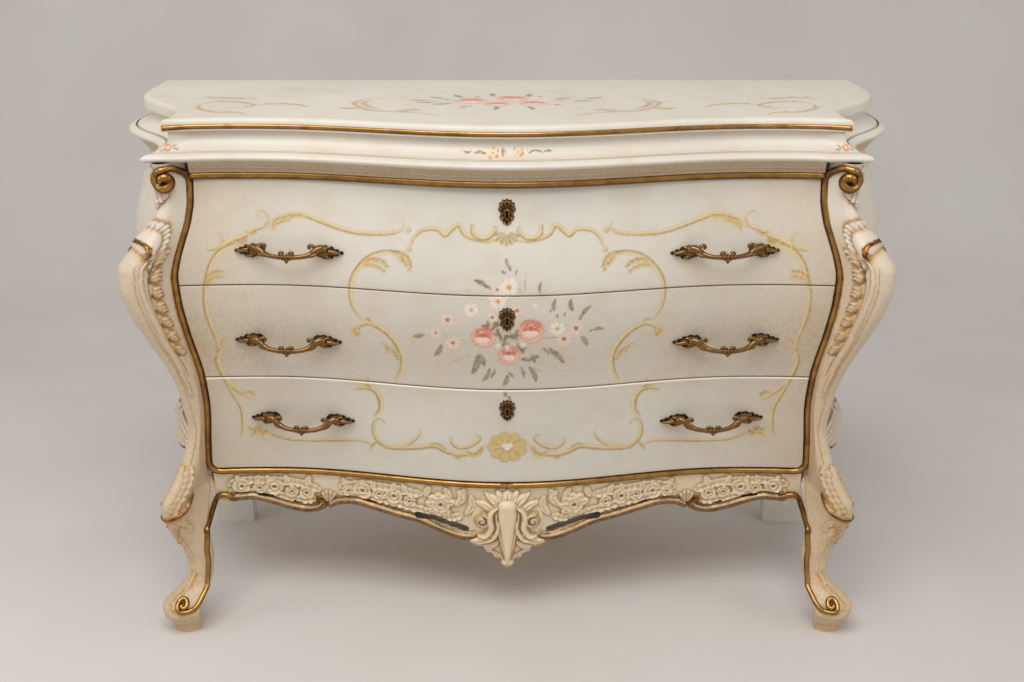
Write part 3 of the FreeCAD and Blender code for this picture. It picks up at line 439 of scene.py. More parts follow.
def addRightAndLeft(name, node, patches):
    addPiece(name + "_right", patches, paintMaterial, nodes=(node + "_right",))
    addPiece(name + "_left", [mirror(p) for p in patches], paintMaterial, nodes=(node + "_left",))


def tube(path, radius, sides=14, up=(0, 1, 0), lightDirection=(0, -0.9, 0.45)):
    # Round bar along a path, its radius one number or one for each point, closed at its ends.
    # Its gilt attribute is painted light: a painted highlight on the side that the light direction
    # points to, falling to nothing on the far side as painted shade.
    path = np.array(path, float)
    radius = np.broadcast_to(np.asarray(radius, float), len(path))
    heading = np.gradient(path, axis=0)
    heading /= np.linalg.norm(heading, axis=1)[:, None]
    across = np.cross(heading, np.array(up, float))
    across /= np.maximum(np.linalg.norm(across, axis=1), 1e-6)[:, None]
    outward = np.cross(across, heading)
    turn = np.linspace(0, 2 * np.pi, sides, endpoint=False)
    ring = across[:, None] * np.cos(turn)[:, None] + outward[:, None] * np.sin(turn)[:, None]
    at = path[:, None] + ring * radius[:, None, None]
    first = np.repeat(path[:1, None], sides, 1)
    last = np.repeat(path[-1:, None], sides, 1)
    made = grid(np.concatenate([first, at, last]), wrap=True)
    # Painted highlight and shade: brighter where the ring faces the light direction.
    wearAndHighlight = np.clip(0.45 + 0.6 * ring @ (np.array(lightDirection) / np.linalg.norm(lightDirection)), 0, 1)
    made["gilt"] = np.concatenate([wearAndHighlight[:1], wearAndHighlight, wearAndHighlight[-1:]])
    return made


def domedButton(x, rear, front, z, radius):
    # Round button in the eye of a scroll.
    line = flow([(x, rear, z), (x, front, z)], 0.6)
    dome = np.sqrt(np.clip(1 - np.linspace(0, 1, len(line)) ** 3, 0.02, 1))
    return tube(line, radius * dome, up=(0, 0, 1))


def plaque(outline, centre, relief, at, rings=26, steps=160):
    # Shaped plate: its outline as X and Z, relief(share of the way out, angle) in mm,
    # at(x, z, height) puts a point in space.
    shape = evenly(flow(outline + outline[:1], 0.5), steps + 1)[:-1]
    arms = shape - np.array(centre)
    share = np.linspace(0.0, 1.0, rings) ** 0.8
    x = centre[0] + share[:, None] * arms[:, 0]
    z = centre[1] + share[:, None] * arms[:, 1]
    angle = np.arctan2(arms[:, 1], arms[:, 0])
    height = relief(share[:, None] * np.ones(steps), angle[None, :] * np.ones((rings, 1)), x, z)
    face = np.stack(at(x, z, height), -1)
    rim = np.stack(at(x[-1], z[-1], np.zeros(steps) - 0.5), -1)
    rolled = np.stack(at(x[-1], z[-1], height[-1] * 0.5), -1)
    return np.concatenate([face, rolled[None], rim[None]]), x, z, height


print("shape functions ready")

# Materials. Each has one dictionary with what a user would change.


def node(tree, kind, settings=None, links=None):
    # Adds a node, sets its properties and sockets, and links outputs to its sockets.
    made = tree.nodes.new(kind)
    for name, value in (settings or {}).items():
        if isinstance(name, str) and hasattr(made, name):
            setattr(made, name, value)
        else:
            made.inputs[name].default_value = value
    for socket, source in (links or {}).items():
        tree.links.new(source, made.inputs[socket])
    return made


def newMaterial(name):
    material = bpy.data.materials.new(name)
    material.use_nodes = True
    material.node_tree.nodes.clear()
    return material, material.node_tree


def ramp(tree, source, stops):
    made = node(tree, "ShaderNodeValToRGB", links={"Fac": source})
    while len(made.color_ramp.elements) < len(stops):
        made.color_ramp.elements.new(0.5)
    for element, (place, colour) in zip(made.color_ramp.elements, stops):
        element.position = place
        element.color = linear(colour) + [1.0] if isinstance(colour, str) else (colour,) * 3 + (1.0,)
    return made.outputs["Color"]


def perMetre(millimetres):
    return 1000.0 / millimetres


# Ivory casein paint on wood, rubbed with a tinted wax: satin, faintly mottled, yellower in the
# hollows, with brush marks that only show in raking light.
ivoryPaint = {"ivory": "#e0dacd", "warmer": "#dbd2c0", "cooler": "#dedbd2", "mottle": 70.0,
              "brush": 1.6, "roughness": 0.42, "gilt": "#94682f", "giltDark": "#54361a"}


def makeIvoryPaint(decorated):
    material, tree = newMaterial("ivoryCaseinPaint" if decorated else "plainIvoryCaseinPaint")
    place = node(tree, "ShaderNodeTexCoord").outputs["Object"]
    cloud = node(tree, "ShaderNodeTexNoise", {"Scale": perMetre(ivoryPaint["mottle"]), "Detail": 4.0,
                                               "Roughness": 0.6}, {"Vector": place})
    base = ramp(tree, cloud.outputs["Fac"], [(0.3, ivoryPaint["warmer"]), (0.5, ivoryPaint["ivory"]),
                                             (0.72, ivoryPaint["cooler"])])
    broad = node(tree, "ShaderNodeTexNoise", {"Scale": perMetre(210.0), "Detail": 3.0},
                 {"Vector": place})
    tone = ramp(tree, broad.outputs["Fac"], [(0.35, 0.93), (0.65, 1.0)])
    base = node(tree, "ShaderNodeMix", {"data_type": "RGBA", "blend_type": "MULTIPLY", 0: 1.0},
                {6: base, 7: tone}).outputs[2]
    if not decorated:
        shader = node(tree, "ShaderNodeBsdfPrincipled",
                      {"IOR": 1.5, "Roughness": ivoryPaint["roughness"]}, {"Base Color": base})
        node(tree, "ShaderNodeOutputMaterial", links={"Surface": shader.outputs["BSDF"]})
        return material
    painted = node(tree, "ShaderNodeAttribute", {"attribute_name": "paint"})
    # The pigment is thinner here and there, so that the ivory shows through it.
    thin = node(tree, "ShaderNodeTexNoise", {"Scale": perMetre(6.0), "Detail": 3.0},
                {"Vector": place})
    wear = node(tree, "ShaderNodeMapRange", {"From Min": 0.3, "From Max": 0.6, "To Min": 0.72,
                                             "To Max": 1.0}, {"Value": thin.outputs["Fac"]})
    amount = node(tree, "ShaderNodeMath", {"operation": "MULTIPLY"},
                  {0: painted.outputs["Alpha"], 1: wear.outputs["Result"]})
    colour = node(tree, "ShaderNodeMix", {"data_type": "RGBA"},
                  {0: amount.outputs[0], 6: base, 7: painted.outputs["Color"]}).outputs[2]
    gilding = node(tree, "ShaderNodeAttribute", {"attribute_name": "gilt"})
    rubbed = node(tree, "ShaderNodeTexNoise", {"Scale": perMetre(9.0), "Detail": 5.0,
                                               "Roughness": 0.65}, {"Vector": place})
    gold = ramp(tree, rubbed.outputs["Fac"], [(0.38, ivoryPaint["giltDark"]),
                                              (0.6, ivoryPaint["gilt"])])
    colour = node(tree, "ShaderNodeMix", {"data_type": "RGBA"},
                  {0: gilding.outputs["Fac"], 6: colour, 7: gold}).outputs[2]
    metal = node(tree, "ShaderNodeMath", {"operation": "MULTIPLY", 1: 0.85},
                 {0: gilding.outputs["Fac"]})
    rough = node(tree, "ShaderNodeMapRange", {"To Min": ivoryPaint["roughness"], "To Max": 0.34},
                 {"Value": gilding.outputs["Fac"]})
    stretch = node(tree, "ShaderNodeMapping", {"Scale": (0.06, 1.0, 1.0)}, {"Vector": place})
    brush = node(tree, "ShaderNodeTexNoise", {"Scale": perMetre(ivoryPaint["brush"]), "Detail": 2.0},
                 {"Vector": stretch.outputs["Vector"]})
    bump = node(tree, "ShaderNodeBump", {"Strength": 0.10, "Distance": 0.0004},
                {"Height": brush.outputs["Fac"]})
    shader = node(tree, "ShaderNodeBsdfPrincipled", {"IOR": 1.5},
                  {"Base Color": colour, "Metallic": metal.outputs[0],
                   "Roughness": rough.outputs["Result"], "Normal": bump.outputs["Normal"]})
    node(tree, "ShaderNodeOutputMaterial", links={"Surface": shader.outputs["BSDF"]})
    return material


# Bronze powder gilding on wood, gone brown with age. Its colour follows the gilt attribute of the bars:
# a painted highlight on the side towards the light, painted shade in umber on the far side.
bronzeGilt = {"bright": "#ad8245", "gold": "#775028", "brown": "#4e3117", "dark": "#26170a",
              "patch": 22.0, "roughness": 0.3}


def makeBronzeGilt():
    material, tree = newMaterial("agedBronzePowderGilt")
    place = node(tree, "ShaderNodeTexCoord").outputs["Object"]
    patch = node(tree, "ShaderNodeTexNoise", {"Scale": perMetre(bronzeGilt["patch"]), "Detail": 5.0,
                                              "Roughness": 0.6}, {"Vector": place})
    wearAndHighlight = node(tree, "ShaderNodeAttribute", {"attribute_name": "gilt"})
    uneven = node(tree, "ShaderNodeMapRange", {"From Min": 0.3, "From Max": 0.7, "To Min": -0.16,
                                               "To Max": 0.16}, {"Value": patch.outputs["Fac"]})
    amount = node(tree, "ShaderNodeMath", {"operation": "ADD"},
                  {0: wearAndHighlight.outputs["Fac"], 1: uneven.outputs["Result"]})
    # Dark to bright along the painted light of the gilt attribute, with uneven patches.
    colour = ramp(tree, amount.outputs[0], [(0.12, bronzeGilt["dark"]), (0.42, bronzeGilt["brown"]),
                                            (0.72, bronzeGilt["gold"]), (1.0, bronzeGilt["bright"])])
    fine = node(tree, "ShaderNodeTexNoise", {"Scale": perMetre(1.2), "Detail": 2.0},
                {"Vector": place})
    rough = node(tree, "ShaderNodeMapRange", {"To Min": bronzeGilt["roughness"] + 0.12,
                                              "To Max": bronzeGilt["roughness"] - 0.04},
                 {"Value": wearAndHighlight.outputs["Fac"]})
    bump = node(tree, "ShaderNodeBump", {"Strength": 0.12, "Distance": 0.0003},
                {"Height": fine.outputs["Fac"]})
    shader = node(tree, "ShaderNodeBsdfPrincipled", {"Metallic": 0.85},
                  {"Base Color": colour, "Roughness": rough.outputs["Result"],
                   "Normal": bump.outputs["Normal"]})
    node(tree, "ShaderNodeOutputMaterial", links={"Surface": shader.outputs["BSDF"]})
    return material


# Cast brass with a chemical brown patina, rubbed through on the high places of the rosettes and keyhole
# plates; on the round bars of the pulls the bright side is a painted highlight towards the light and
# the far side painted shade.
brownBrass = {"rubbed": "#83613a", "brown": "#513822", "black": "#281a0f", "roughness": 0.32}


def makeBrownBrass():
    material, tree = newMaterial("patinatedCastBrass")
    place = node(tree, "ShaderNodeTexCoord").outputs["Object"]
    patch = node(tree, "ShaderNodeTexNoise", {"Scale": perMetre(5.0), "Detail": 4.0},
                 {"Vector": place})
    high = node(tree, "ShaderNodeAttribute", {"attribute_name": "gilt"})
    mixed = node(tree, "ShaderNodeMath", {"operation": "MULTIPLY_ADD", 1: 0.5},
                 {0: patch.outputs["Fac"], 2: high.outputs["Fac"]})
    # The gilt attribute: wear on the plates, painted highlight and shade on the bars.
    colour = ramp(tree, mixed.outputs[0], [(0.25, brownBrass["black"]), (0.55, brownBrass["brown"]),
                                           (1.0, brownBrass["rubbed"])])
    grain = node(tree, "ShaderNodeTexNoise", {"Scale": perMetre(0.9)}, {"Vector": place})
    bump = node(tree, "ShaderNodeBump", {"Strength": 0.15, "Distance": 0.0003},
                {"Height": grain.outputs["Fac"]})
    rough = node(tree, "ShaderNodeMapRange", {"To Min": brownBrass["roughness"] + 0.14,
                                              "To Max": brownBrass["roughness"] - 0.06},
                 {"Value": high.outputs["Fac"]})
    shader = node(tree, "ShaderNodeBsdfPrincipled", {"Metallic": 0.85},
                  {"Base Color": colour, "Roughness": rough.outputs["Result"],
                   "Normal": bump.outputs["Normal"]})
    node(tree, "ShaderNodeOutputMaterial", links={"Surface": shader.outputs["BSDF"]})
    return material


# Plain machined brass of the locks and screws, dulled by handling.
lockBrass = {"clean": "#b3924f", "dull": "#8a6d3a", "roughness": 0.38}


def makeLockBrass():
    material, tree = newMaterial("dulledMachinedBrass")
    place = node(tree, "ShaderNodeTexCoord").outputs["Object"]
    patch = node(tree, "ShaderNodeTexNoise", {"Scale": perMetre(8.0), "Detail": 4.0},
                 {"Vector": place})
    colour = ramp(tree, patch.outputs["Fac"], [(0.35, lockBrass["dull"]), (0.65, lockBrass["clean"])])
    rough = node(tree, "ShaderNodeMapRange", {"To Min": lockBrass["roughness"] - 0.08,
                                              "To Max": lockBrass["roughness"] + 0.12},
                 {"Value": patch.outputs["Fac"]})
    shader = node(tree, "ShaderNodeBsdfPrincipled", {"Metallic": 0.95},
                  {"Base Color": colour, "Roughness": rough.outputs["Result"]})
    node(tree, "ShaderNodeOutputMaterial", links={"Surface": shader.outputs["BSDF"]})
    return material


# Planed poplar of the drawer boxes and rails: straight pale grain, unsealed, so nearly matt.
poplar = {"early": "#c9a877", "late": "#a17c4d", "ring": 7.0, "roughness": 0.62}


def makePoplar():
    material, tree = newMaterial("planedPoplar")
    place = node(tree, "ShaderNodeTexCoord").outputs["Object"]
    stretch = node(tree, "ShaderNodeMapping", {"Scale": (0.05, 0.7, 1.0)}, {"Vector": place})
    grain = node(tree, "ShaderNodeTexNoise", {"Scale": perMetre(poplar["ring"]), "Detail": 6.0,
                                              "Roughness": 0.7}, {"Vector": stretch.outputs["Vector"]})
    colour = ramp(tree, grain.outputs["Fac"], [(0.35, poplar["late"]), (0.6, poplar["early"])])
    bump = node(tree, "ShaderNodeBump", {"Strength": 0.15, "Distance": 0.0004},
                {"Height": grain.outputs["Fac"]})
    shader = node(tree, "ShaderNodeBsdfPrincipled", {"Roughness": poplar["roughness"], "IOR": 1.5},
                  {"Base Color": colour, "Normal": bump.outputs["Normal"]})
    node(tree, "ShaderNodeOutputMaterial", links={"Surface": shader.outputs["BSDF"]})
    return material


paintMaterial = makeIvoryPaint(True)
plainMaterial = makeIvoryPaint(False)
giltMaterial = makeBronzeGilt()
brassMaterial = makeBrownBrass()
lockMaterial = makeLockBrass()
woodMaterial = makePoplar()
print("materials ready")

# Nodes that stay as they were built get the finish of their real material.
for name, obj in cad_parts.items():
    if name.endswith(("_lock", "_lock_bolt", "_pull_screws")):
        chosen = lockMaterial
    elif name.endswith(("_sides", "_back", "_bottom")) and name.startswith("drawer_"):
        chosen = woodMaterial
    elif name in ("drawer_runners", "divider_upper", "divider_lower", "bottom_board", "back_panel",
                  "top_rail"):
        chosen = woodMaterial
    else:
        chosen = plainMaterial
    obj.data.materials.clear()
    obj.data.materials.append(chosen)

# Painted scrolls of the drawer fronts, for one half, from its middle outwards. X and Z in mm.
scrollPaint = {
    "light": "#d8ba74", "dark": "#8f6a34", "bright": "#f1e3b6", "width": 1.5,
    "heart": "#e9e3d4", "wax": "#b98b3f", "middleDrawerShade": "#917038", "litEdge": "#fbf3e2",
    "long": [
        ([(447, 694), (464, 688), (480, 674), (491, 652), (499, 620), (501, 587), (496, 557),
          (488, 531)], 3.6, "even"),
        ([(491, 687), (476, 689), (468, 697), (468, 709), (474, 713), (478, 709)], 2.6, "end"),
        ([(464, 694), (447, 703), (430, 709), (416, 719), (399, 725), (391, 735), (395, 745),
          (404, 747), (406, 740), (400, 738)], 4.2, "end"),
        ([(391, 722), (380, 737), (361, 744), (338, 746), (311, 738), (277, 727), (250, 721),
          (227, 720), (200, 721), (176, 726), (166, 736), (169, 741)], 3.4, "both"),
        ([(156, 702), (152, 714), (140, 728), (123, 733), (110, 732), (99, 724), (89, 733),
          (77, 741), (68, 727), (50, 719), (32, 717), (14, 719)], 3.2, "both"),
        ([(54, 743), (54, 729), (43, 721), (29, 723), (19, 734), (21, 741)], 3.6, "both"),
        ([(157, 675), (164, 689), (190, 692), (217, 685), (238, 668), (253, 644), (257, 619),
          (253, 594), (239, 571)], 3.6, "both"),
        ([(250, 546), (247, 560), (228, 567), (205, 557), (185, 536), (174, 509), (177, 483),
          (188, 461)], 4.4, "both"),
        ([(261, 439), (245, 444), (228, 441), (217, 425), (217, 402), (228, 385)], 4.4, "both"),
        ([(210, 372), (218, 381), (229, 374), (231, 351), (219, 331), (194, 327), (168, 339),
          (151, 359), (150, 369)], 3.4, "both"),
        ([(488, 531), (487, 507), (492, 484), (484, 455), (469, 434), (453, 419), (443, 411)],
         4.4, "both"),
        ([(487, 462), (471, 418), (461, 393), (461, 364), (464, 342), (472, 332)], 3.6, "both"),
        ([(428, 352), (410, 337), (380, 328), (336, 328), (281, 333), (252, 334), (232, 325)],
         3.2, "both"),
        ([(226, 339), (205, 326), (162, 330), (126, 337), (105, 328), (83, 323), (55, 329),
          (39, 346)], 4.4, "both"),
        ([(96, 360), (94, 345), (80, 337), (60, 344), (47, 358), (55, 365)], 3.4, "both"),
    ],
    "leaves": [
        ([(497, 627), (492, 641), (481, 648), (466, 649)], 3.6),
        ([(497, 622), (490, 634), (478, 640), (466, 640)], 3.2),
        ([(384, 721), (375, 733), (355, 740), (331, 742)], 3.4),
        ([(384, 716), (377, 726), (366, 732), (352, 735)], 2.6),
        ([(233, 669), (218, 677), (201, 674), (194, 664)], 4.2),
        ([(238, 664), (222, 668), (206, 664), (198, 656)], 3.2),
        ([(190, 692), (174, 688), (170, 680), (160, 670)], 4.2),
        ([(176, 690), (162, 684), (157, 674), (160, 662)], 3.6),
        ([(239, 571), (230, 574), (226, 567)], 2.6),
        ([(250, 560), (256, 552), (252, 543), (244, 546)], 4.0),
        ([(206, 526), (193, 520), (181, 501)], 4.2),
        ([(212, 533), (204, 528), (196, 512)], 2.8),
        ([(262, 448), (252, 452), (240, 449), (233, 443)], 4.4),
        ([(237, 466), (237, 456), (243, 446)], 2.8),
        ([(496, 521), (485, 516), (475, 530), (468, 526)], 2.4),
        ([(495, 496), (482, 511), (469, 507), (471, 498)], 2.4),
        ([(456, 353), (446, 346), (435, 353)], 4.6),
        ([(451, 333), (438, 342), (428, 352)], 5.0),
        ([(441, 346), (430, 340), (420, 345)], 4.6),
        ([(240, 316), (234, 327), (228, 333)], 2.6),
        ([(136, 338), (120, 341), (105, 330)], 3.0),
        ([(72, 332), (60, 322), (48, 328), (40, 340)], 4.6),
        ([(96, 322), (86, 316), (76, 322)], 3.2),
        ([(455, 420), (444, 424), (436, 416)], 3.6),
        ([(449, 700), (436, 697), (424, 702)], 3.8),
        ([(430, 715), (418, 712), (408, 716)], 3.4),
    ],
    "dots": [(159, 730, 5.0), (158, 699, 4.4), (214, 323, 3.0), (205, 721, 2.4), (184, 722, 2.4)],
}
# Bouquet in the middle of the fronts.
bouquet = {
    "rose": "#dc7356", "roseDeep": "#b5432c", "rosePale": "#f6dccb", "white": "#f6efe2",
    "peach": "#e5a583", "seed": "#8f4d20", "centre": "#e2ab4a", "olive": "#7f744a",
    "oliveDark": "#54492c", "olivePale": "#a59c70",
    "roses": [(-40, 554, 22), (39, 566, 24), (3, 522, 20)],
    "daisies": [(3, 642, 17), (-15, 618, 15), (-58, 602, 13), (82, 568, 14)],
    "asters": [(-16, 638, 9), (16, 602, 11), (-24, 590, 10), (-97, 583, 13), (-117, 559, 10),
               (-89, 542, 13), (113, 567, 14), (93, 549, 14)],
    "buds": [(-14, 538, 9), (0, 536, 9), (26, 540, 9), (45, 609, 8)],
    "leaves": [(0, 684, 11, 100, 3.2), (3, 674, 12, -60, 3.0), (-5, 667, 8, 150, 2.6),
               (15, 666, 9, 80, 2.2), (-42, 647, 26, -30, 5.0), (-29, 641, 10, -50, 2.4),
               (77, 610, 20, 85, 4.4), (105, 608, 22, 100, 5.2), (129, 597, 22, 50, 4.6),
               (121, 586, 14, 70, 3.4), (-146, 552, 20, 195, 4.6), (-114, 527, 26, 240, 5.4),
               (-53, 504, 38, 255, 7.6), (-42, 512, 24, 290, 6.0), (-35, 484, 30, 245, 4.6),
               (-24, 487, 20, 250, 3.4), (76, 529, 18, 150, 3.6), (82, 516, 34, -45, 5.6),
               (127, 543, 20, -60, 5.4), (150, 563, 15, 0, 4.6), (138, 561, 8, 30, 2.4),
               (42, 485, 32, -68, 5.6), (25, 489, 22, -75, 3.2), (6, 484, 14, -50, 3.2),
               (-3, 474, 22, 250, 5.2), (-2, 449, 14, 90, 4.4), (3, 439, 10, -80, 3.2),
               (71, 600, 8, 60, 2.0), (82, 591, 8, 100, 2.0), (94, 593, 8, 80, 2.0),
               (54, 641, 20, 82, 2.6), (64, 528, 16, -50, 3.4), (30, 512, 16, -20, 4.0)],
    "greens": [(-4, 544), (21, 534), (-13, 559), (17, 557), (42, 518), (-20, 574), (6, 556),
               (-30, 575)],
    "stems": [((-93, 509), (-78, 512), (-64, 520)), ((47, 507), (56, 505), (63, 501)),
              ((42, 498), (50, 494), (57, 488)), ((-67, 636), (-62, 635), (-58, 632)),
              ((28, 628), (29, 648), (31, 667)), ((52, 622), (54, 635), (55, 648)),
              ((21, 649), (21, 638), (23, 628)), ((-60, 540), (-74, 548), (-110, 556)),
              ((60, 552), (84, 552), (112, 556))],
}


def paintRose(sheet, x, z, size, random):
    c = bouquet
    paintSpot(sheet, x, z, size * 1.35, c["peach"], 0.4, 1.0)
    paintSpot(sheet, x, z, size * 0.98, c["rose"], 0.88, 0.45)
    for k in range(8):
        turn = k * 2 * math.pi / 8 + random.uniform(-0.2, 0.2)
        far = size * random.uniform(0.66, 0.86)
        arc = [(x + far * math.cos(turn + a), z + far * math.sin(turn + a)) for a in (-0.5, 0, 0.5)]
        colour = c["rosePale"] if math.sin(turn) < 0.2 else c["roseDeep"]
        paintLine(sheet, arc, size * 0.17, colour, c["rose"], strength=0.6)
    paintSpot(sheet, x, z + size * 0.14, size * 0.5, c["roseDeep"], 0.8, 0.7)
    for k in range(6):
        turn = -2.9 + k * 0.48
        root = (x + 0.12 * size * math.cos(turn), z - size * 0.02)
        tip = (x + 0.62 * size * math.cos(turn), z - size * 0.04 + 0.62 * size * math.sin(turn))
        middle = ((root[0] + tip[0]) / 2 + size * 0.06, (root[1] + tip[1]) / 2)
        paintLine(sheet, [root, middle, tip], size * 0.13, c["white"], c["rosePale"], strength=0.85)
    paintLine(sheet, [(x - size * 0.25, z + size * 0.25), (x, z + size * 0.4),
                      (x + size * 0.28, z + size * 0.2)], size * 0.1, c["rosePale"], c["rose"])


def paintDaisy(sheet, x, z, size, petal, shade, centre, random, count=12):
    for k in range(count):
        turn = (k + random.uniform(-0.25, 0.25)) * 2 * math.pi / count
        far = size * random.uniform(0.8, 1.05)
        line = [(x + 0.25 * far * math.cos(turn), z + 0.25 * far * math.sin(turn)),
                (x + 0.65 * far * math.cos(turn + 0.06), z + 0.65 * far * math.sin(turn + 0.06)),
                (x + far * math.cos(turn), z + far * math.sin(turn))]
        paintLine(sheet, line, size * 0.15, petal, shade, strength=0.85)
    paintSpot(sheet, x, z, size * 0.3, centre, 0.95, 0.5)
    paintSpot(sheet, x + size * 0.06, z - size * 0.08, size * 0.12, bouquet["seed"], 0.9, 0.6)


def paintLeaf(sheet, x, z, length, angle, width, light, dark):
    turn = math.radians(angle)
    dx, dz = math.cos(turn) * length / 2, math.sin(turn) * length / 2
    bow = [(x - dx, z - dz), (x - dz * 0.18, z + dx * 0.18), (x + dx, z + dz)]
    paintLine(sheet, bow, width, light, dark, strength=0.88)


def paintFronts():
    sheet = newSheet(-560, 560, 256, 812)
    colours = scrollPaint
    wider = colours["width"]
    for way in (1, -1):
        for points, size, kind in colours["long"]:
            width = size * wider
            line = flow(sided(way, points), 1.0)
            paintLine(sheet, line, width, colours["light"], colours["light"], kind, 0.82, 0.4, False)
            paintLine(sheet, shifted(line, -way * width * 0.5), width * 0.42, colours["dark"],
                      colours["dark"], kind, 0.75, 0.7, False)
            paintLine(sheet, shifted(line, way * width * 0.3), width * 0.28, colours["bright"],
                      colours["bright"], kind, 0.6, 0.8, False)
        for points, size in colours["leaves"]:
            width = size * wider * 0.9
            line = flow(sided(way, points), 1.0)
            paintLine(sheet, line, width, colours["light"], colours["light"], "both", 0.85, 0.4, False)
            paintLine(sheet, shifted(line, way * width * 0.45), width * 0.34, colours["dark"],
                      colours["dark"], "both", 0.7, 0.7, False)
            # Small lobes along the outer part of the leaf.
            for share in (0.5, 0.7, 0.88):
                i = int(share * (len(line) - 1))
                heading = line[min(i + 1, len(line) - 1)] - line[i - 1]
                heading /= max(np.linalg.norm(heading), 1e-6)
                out = np.array([heading[1], -heading[0]]) * way
                tip = line[i] + out * width * 1.15 + heading * width * 0.7
                paintLine(sheet, [line[i], (line[i] + tip) / 2 + heading * 0.6, tip], width * 0.4,
                          colours["light"], colours["dark"], "end", 0.8)
        for x, z, size in colours["dots"]:
            paintSpot(sheet, way * x, z, size * 1.25, colours["light"], 0.85)
            paintLine(sheet, spiral(way * x, z, size, 0.6, 200, 1, 0.9), size * 0.3, colours["dark"],
                      colours["dark"], "both", 0.6, 0.7, False)
    # Ruffled shell below the top keyhole and the rosette above the bottom rail.
    for k in range(7):
        turn = math.pi * (1.08 + 0.84 * k / 6.0)
        tip = (18 * math.cos(turn), 731 + 19 * math.sin(turn))
        paintLine(sheet, [(4 * math.cos(turn), 731 + 4 * math.sin(turn)), tip], 4.6,
                  colours["light"], colours["dark"], "start", 0.85)
    for k in range(9):
        turn = 2 * math.pi * k / 9 + 0.35
        petal = (25 * math.cos(turn), 342 + 22 * math.sin(turn))
        paintSpot(sheet, petal[0], petal[1] - 1.2, 11.5, colours["dark"], 0.75, 0.3)
        paintSpot(sheet, petal[0], petal[1], 10.6, colours["light"], 0.9, 0.25)
    paintSpot(sheet, 0, 342, 23, colours["light"], 0.92, 0.3)
    for k in range(9):
        turn = 2 * math.pi * (k + 0.5) / 9 + 0.35
        paintLine(sheet, [(13 * math.cos(turn), 342 + 11 * math.sin(turn)),
                          (29 * math.cos(turn), 342 + 26 * math.sin(turn))], 1.3, colours["dark"],
                  colours["dark"], "end", 0.8, 0.7)
    paintSpot(sheet, 0, 340, 12, colours["dark"], 0.7, 0.4)
    for x, z in ((-4, 344), (4, 344), (0, 339)):
        paintSpot(sheet, x, z, 6.5, colours["heart"], 0.95, 0.3)

    random = np.random.default_rng(7)
    c = bouquet
    for line in c["stems"]:
        paintLine(sheet, line, 1.1, c["olivePale"], c["olive"], strength=0.7)
    for x, z in c["greens"]:
        paintSpot(sheet, x, z, 10, c["olivePale"], 0.6, 0.8)
        for k in range(4):
            turn = random.uniform(0, 2 * math.pi)
            paintLeaf(sheet, x + 5 * math.cos(turn), z + 5 * math.sin(turn), 13, math.degrees(turn),
                      3.4, c["olive"], c["oliveDark"])
    for x, z, length, angle, width in c["leaves"]:
        paintLeaf(sheet, x, z, length, angle, width, c["olive"], c["oliveDark"])
        paintLeaf(sheet, x + 0.8, z + 0.8, length * 0.6, angle, width * 0.25, c["olivePale"],
                  c["olivePale"])
    for x, z, size in c["asters"]:
        paintSpot(sheet, x, z, size * 1.2, c["rosePale"], 0.4, 1.0)
        paintDaisy(sheet, x, z, size * 1.15, c["white"], c["peach"], c["seed"], random)
    for x, z, size in c["daisies"]:
        paintDaisy(sheet, x, z, size * 1.15, c["white"], c["rosePale"], c["centre"], random, 15)
    for x, z, size in c["roses"]:
        paintRose(sheet, x, z, size, random)
    for x, z, size in c["buds"]:
        paintSpot(sheet, x, z, size * 0.75, c["white"], 0.85, 0.7)
        paintLine(sheet, [(x - size * 0.3, z + 2), (x, z - size * 0.5), (x + size * 0.3, z + 2)],
                  size * 0.2, c["rosePale"], c["peach"])
    # The wax colour lies heavier along the edges of the fronts, and under the pulls, where it is
    # painted shadow.
    xs, zs = sheetAxes(sheet)
    toEdge = smooth(drawerEdges, zs)[:, None] - np.abs(xs)[None, :]
    amount = 0.34 * np.exp(-np.clip(toEdge, 0, None) / 9.0)
    # The ivory is yellower towards the posts.
    far = np.clip((np.abs(xs) - 230.0) / 320.0, 0, 1)[None, :]
    amount = np.maximum(amount, 0.34 * far)
    for low, high in drawerRows:
        rise = np.minimum(np.abs(zs - low), np.abs(zs - high))[:, None]
        inside = ((zs > low - 1) & (zs < high + 1))[:, None]
        amount = np.maximum(amount, np.where(inside, 0.22 * np.exp(-rise / 5.0), 0))
    # Painted shadow under each pull's rosettes and its middle.
    for x, z in pullRows:
        for way in (1, -1):
            for px in (way * (x - 60), way * x, way * (x + 60)):
                far = np.hypot((xs[None, :] - px) / 34.0, (zs[:, None] - z + 12) / 22.0)
                amount = np.maximum(amount, 0.22 * np.exp(-far ** 2))
    under = sheet["cover"].copy()
    wash(sheet, np.clip(amount, 0, 0.5) * (1 - under * 0.7), colours["wax"])
    # Painted shade: a grey wash, faint over all the fronts and heaviest low on the middle drawer, where
    # the face leans down away from the light.
    middleShade = (0.06 + 0.29 * np.exp(-((zs - 520.0) / 80.0) ** 2))[:, None] * (1 - under * 0.6)
    wash(sheet, middleShade, colours["middleDrawerShade"])
    # Painted highlight: a pale line along the top edge of the lowest drawer, where the light catches
    # it.
    # Painted highlight along the drawer's top edge.
    rubbed = drawerRows[2][1] - 1.0
    paintLine(sheet, [(-520, rubbed), (0, rubbed), (520, rubbed)], 2.5, colours["litEdge"],
              colours["litEdge"], "even", 0.95, 0.4)
    return sheet


pullRows = [(356.5, 685.5), (367.0, 528.0), (354.5, 374.0)]
keyhole = {"belowTop": 39.0, "width": 29.0, "height": 43.0, "hole": 2.8}
frontBoards = {"thickness": 22.0, "corner": 14.0, "spacing": 2.0, "softEdge": 1.4}


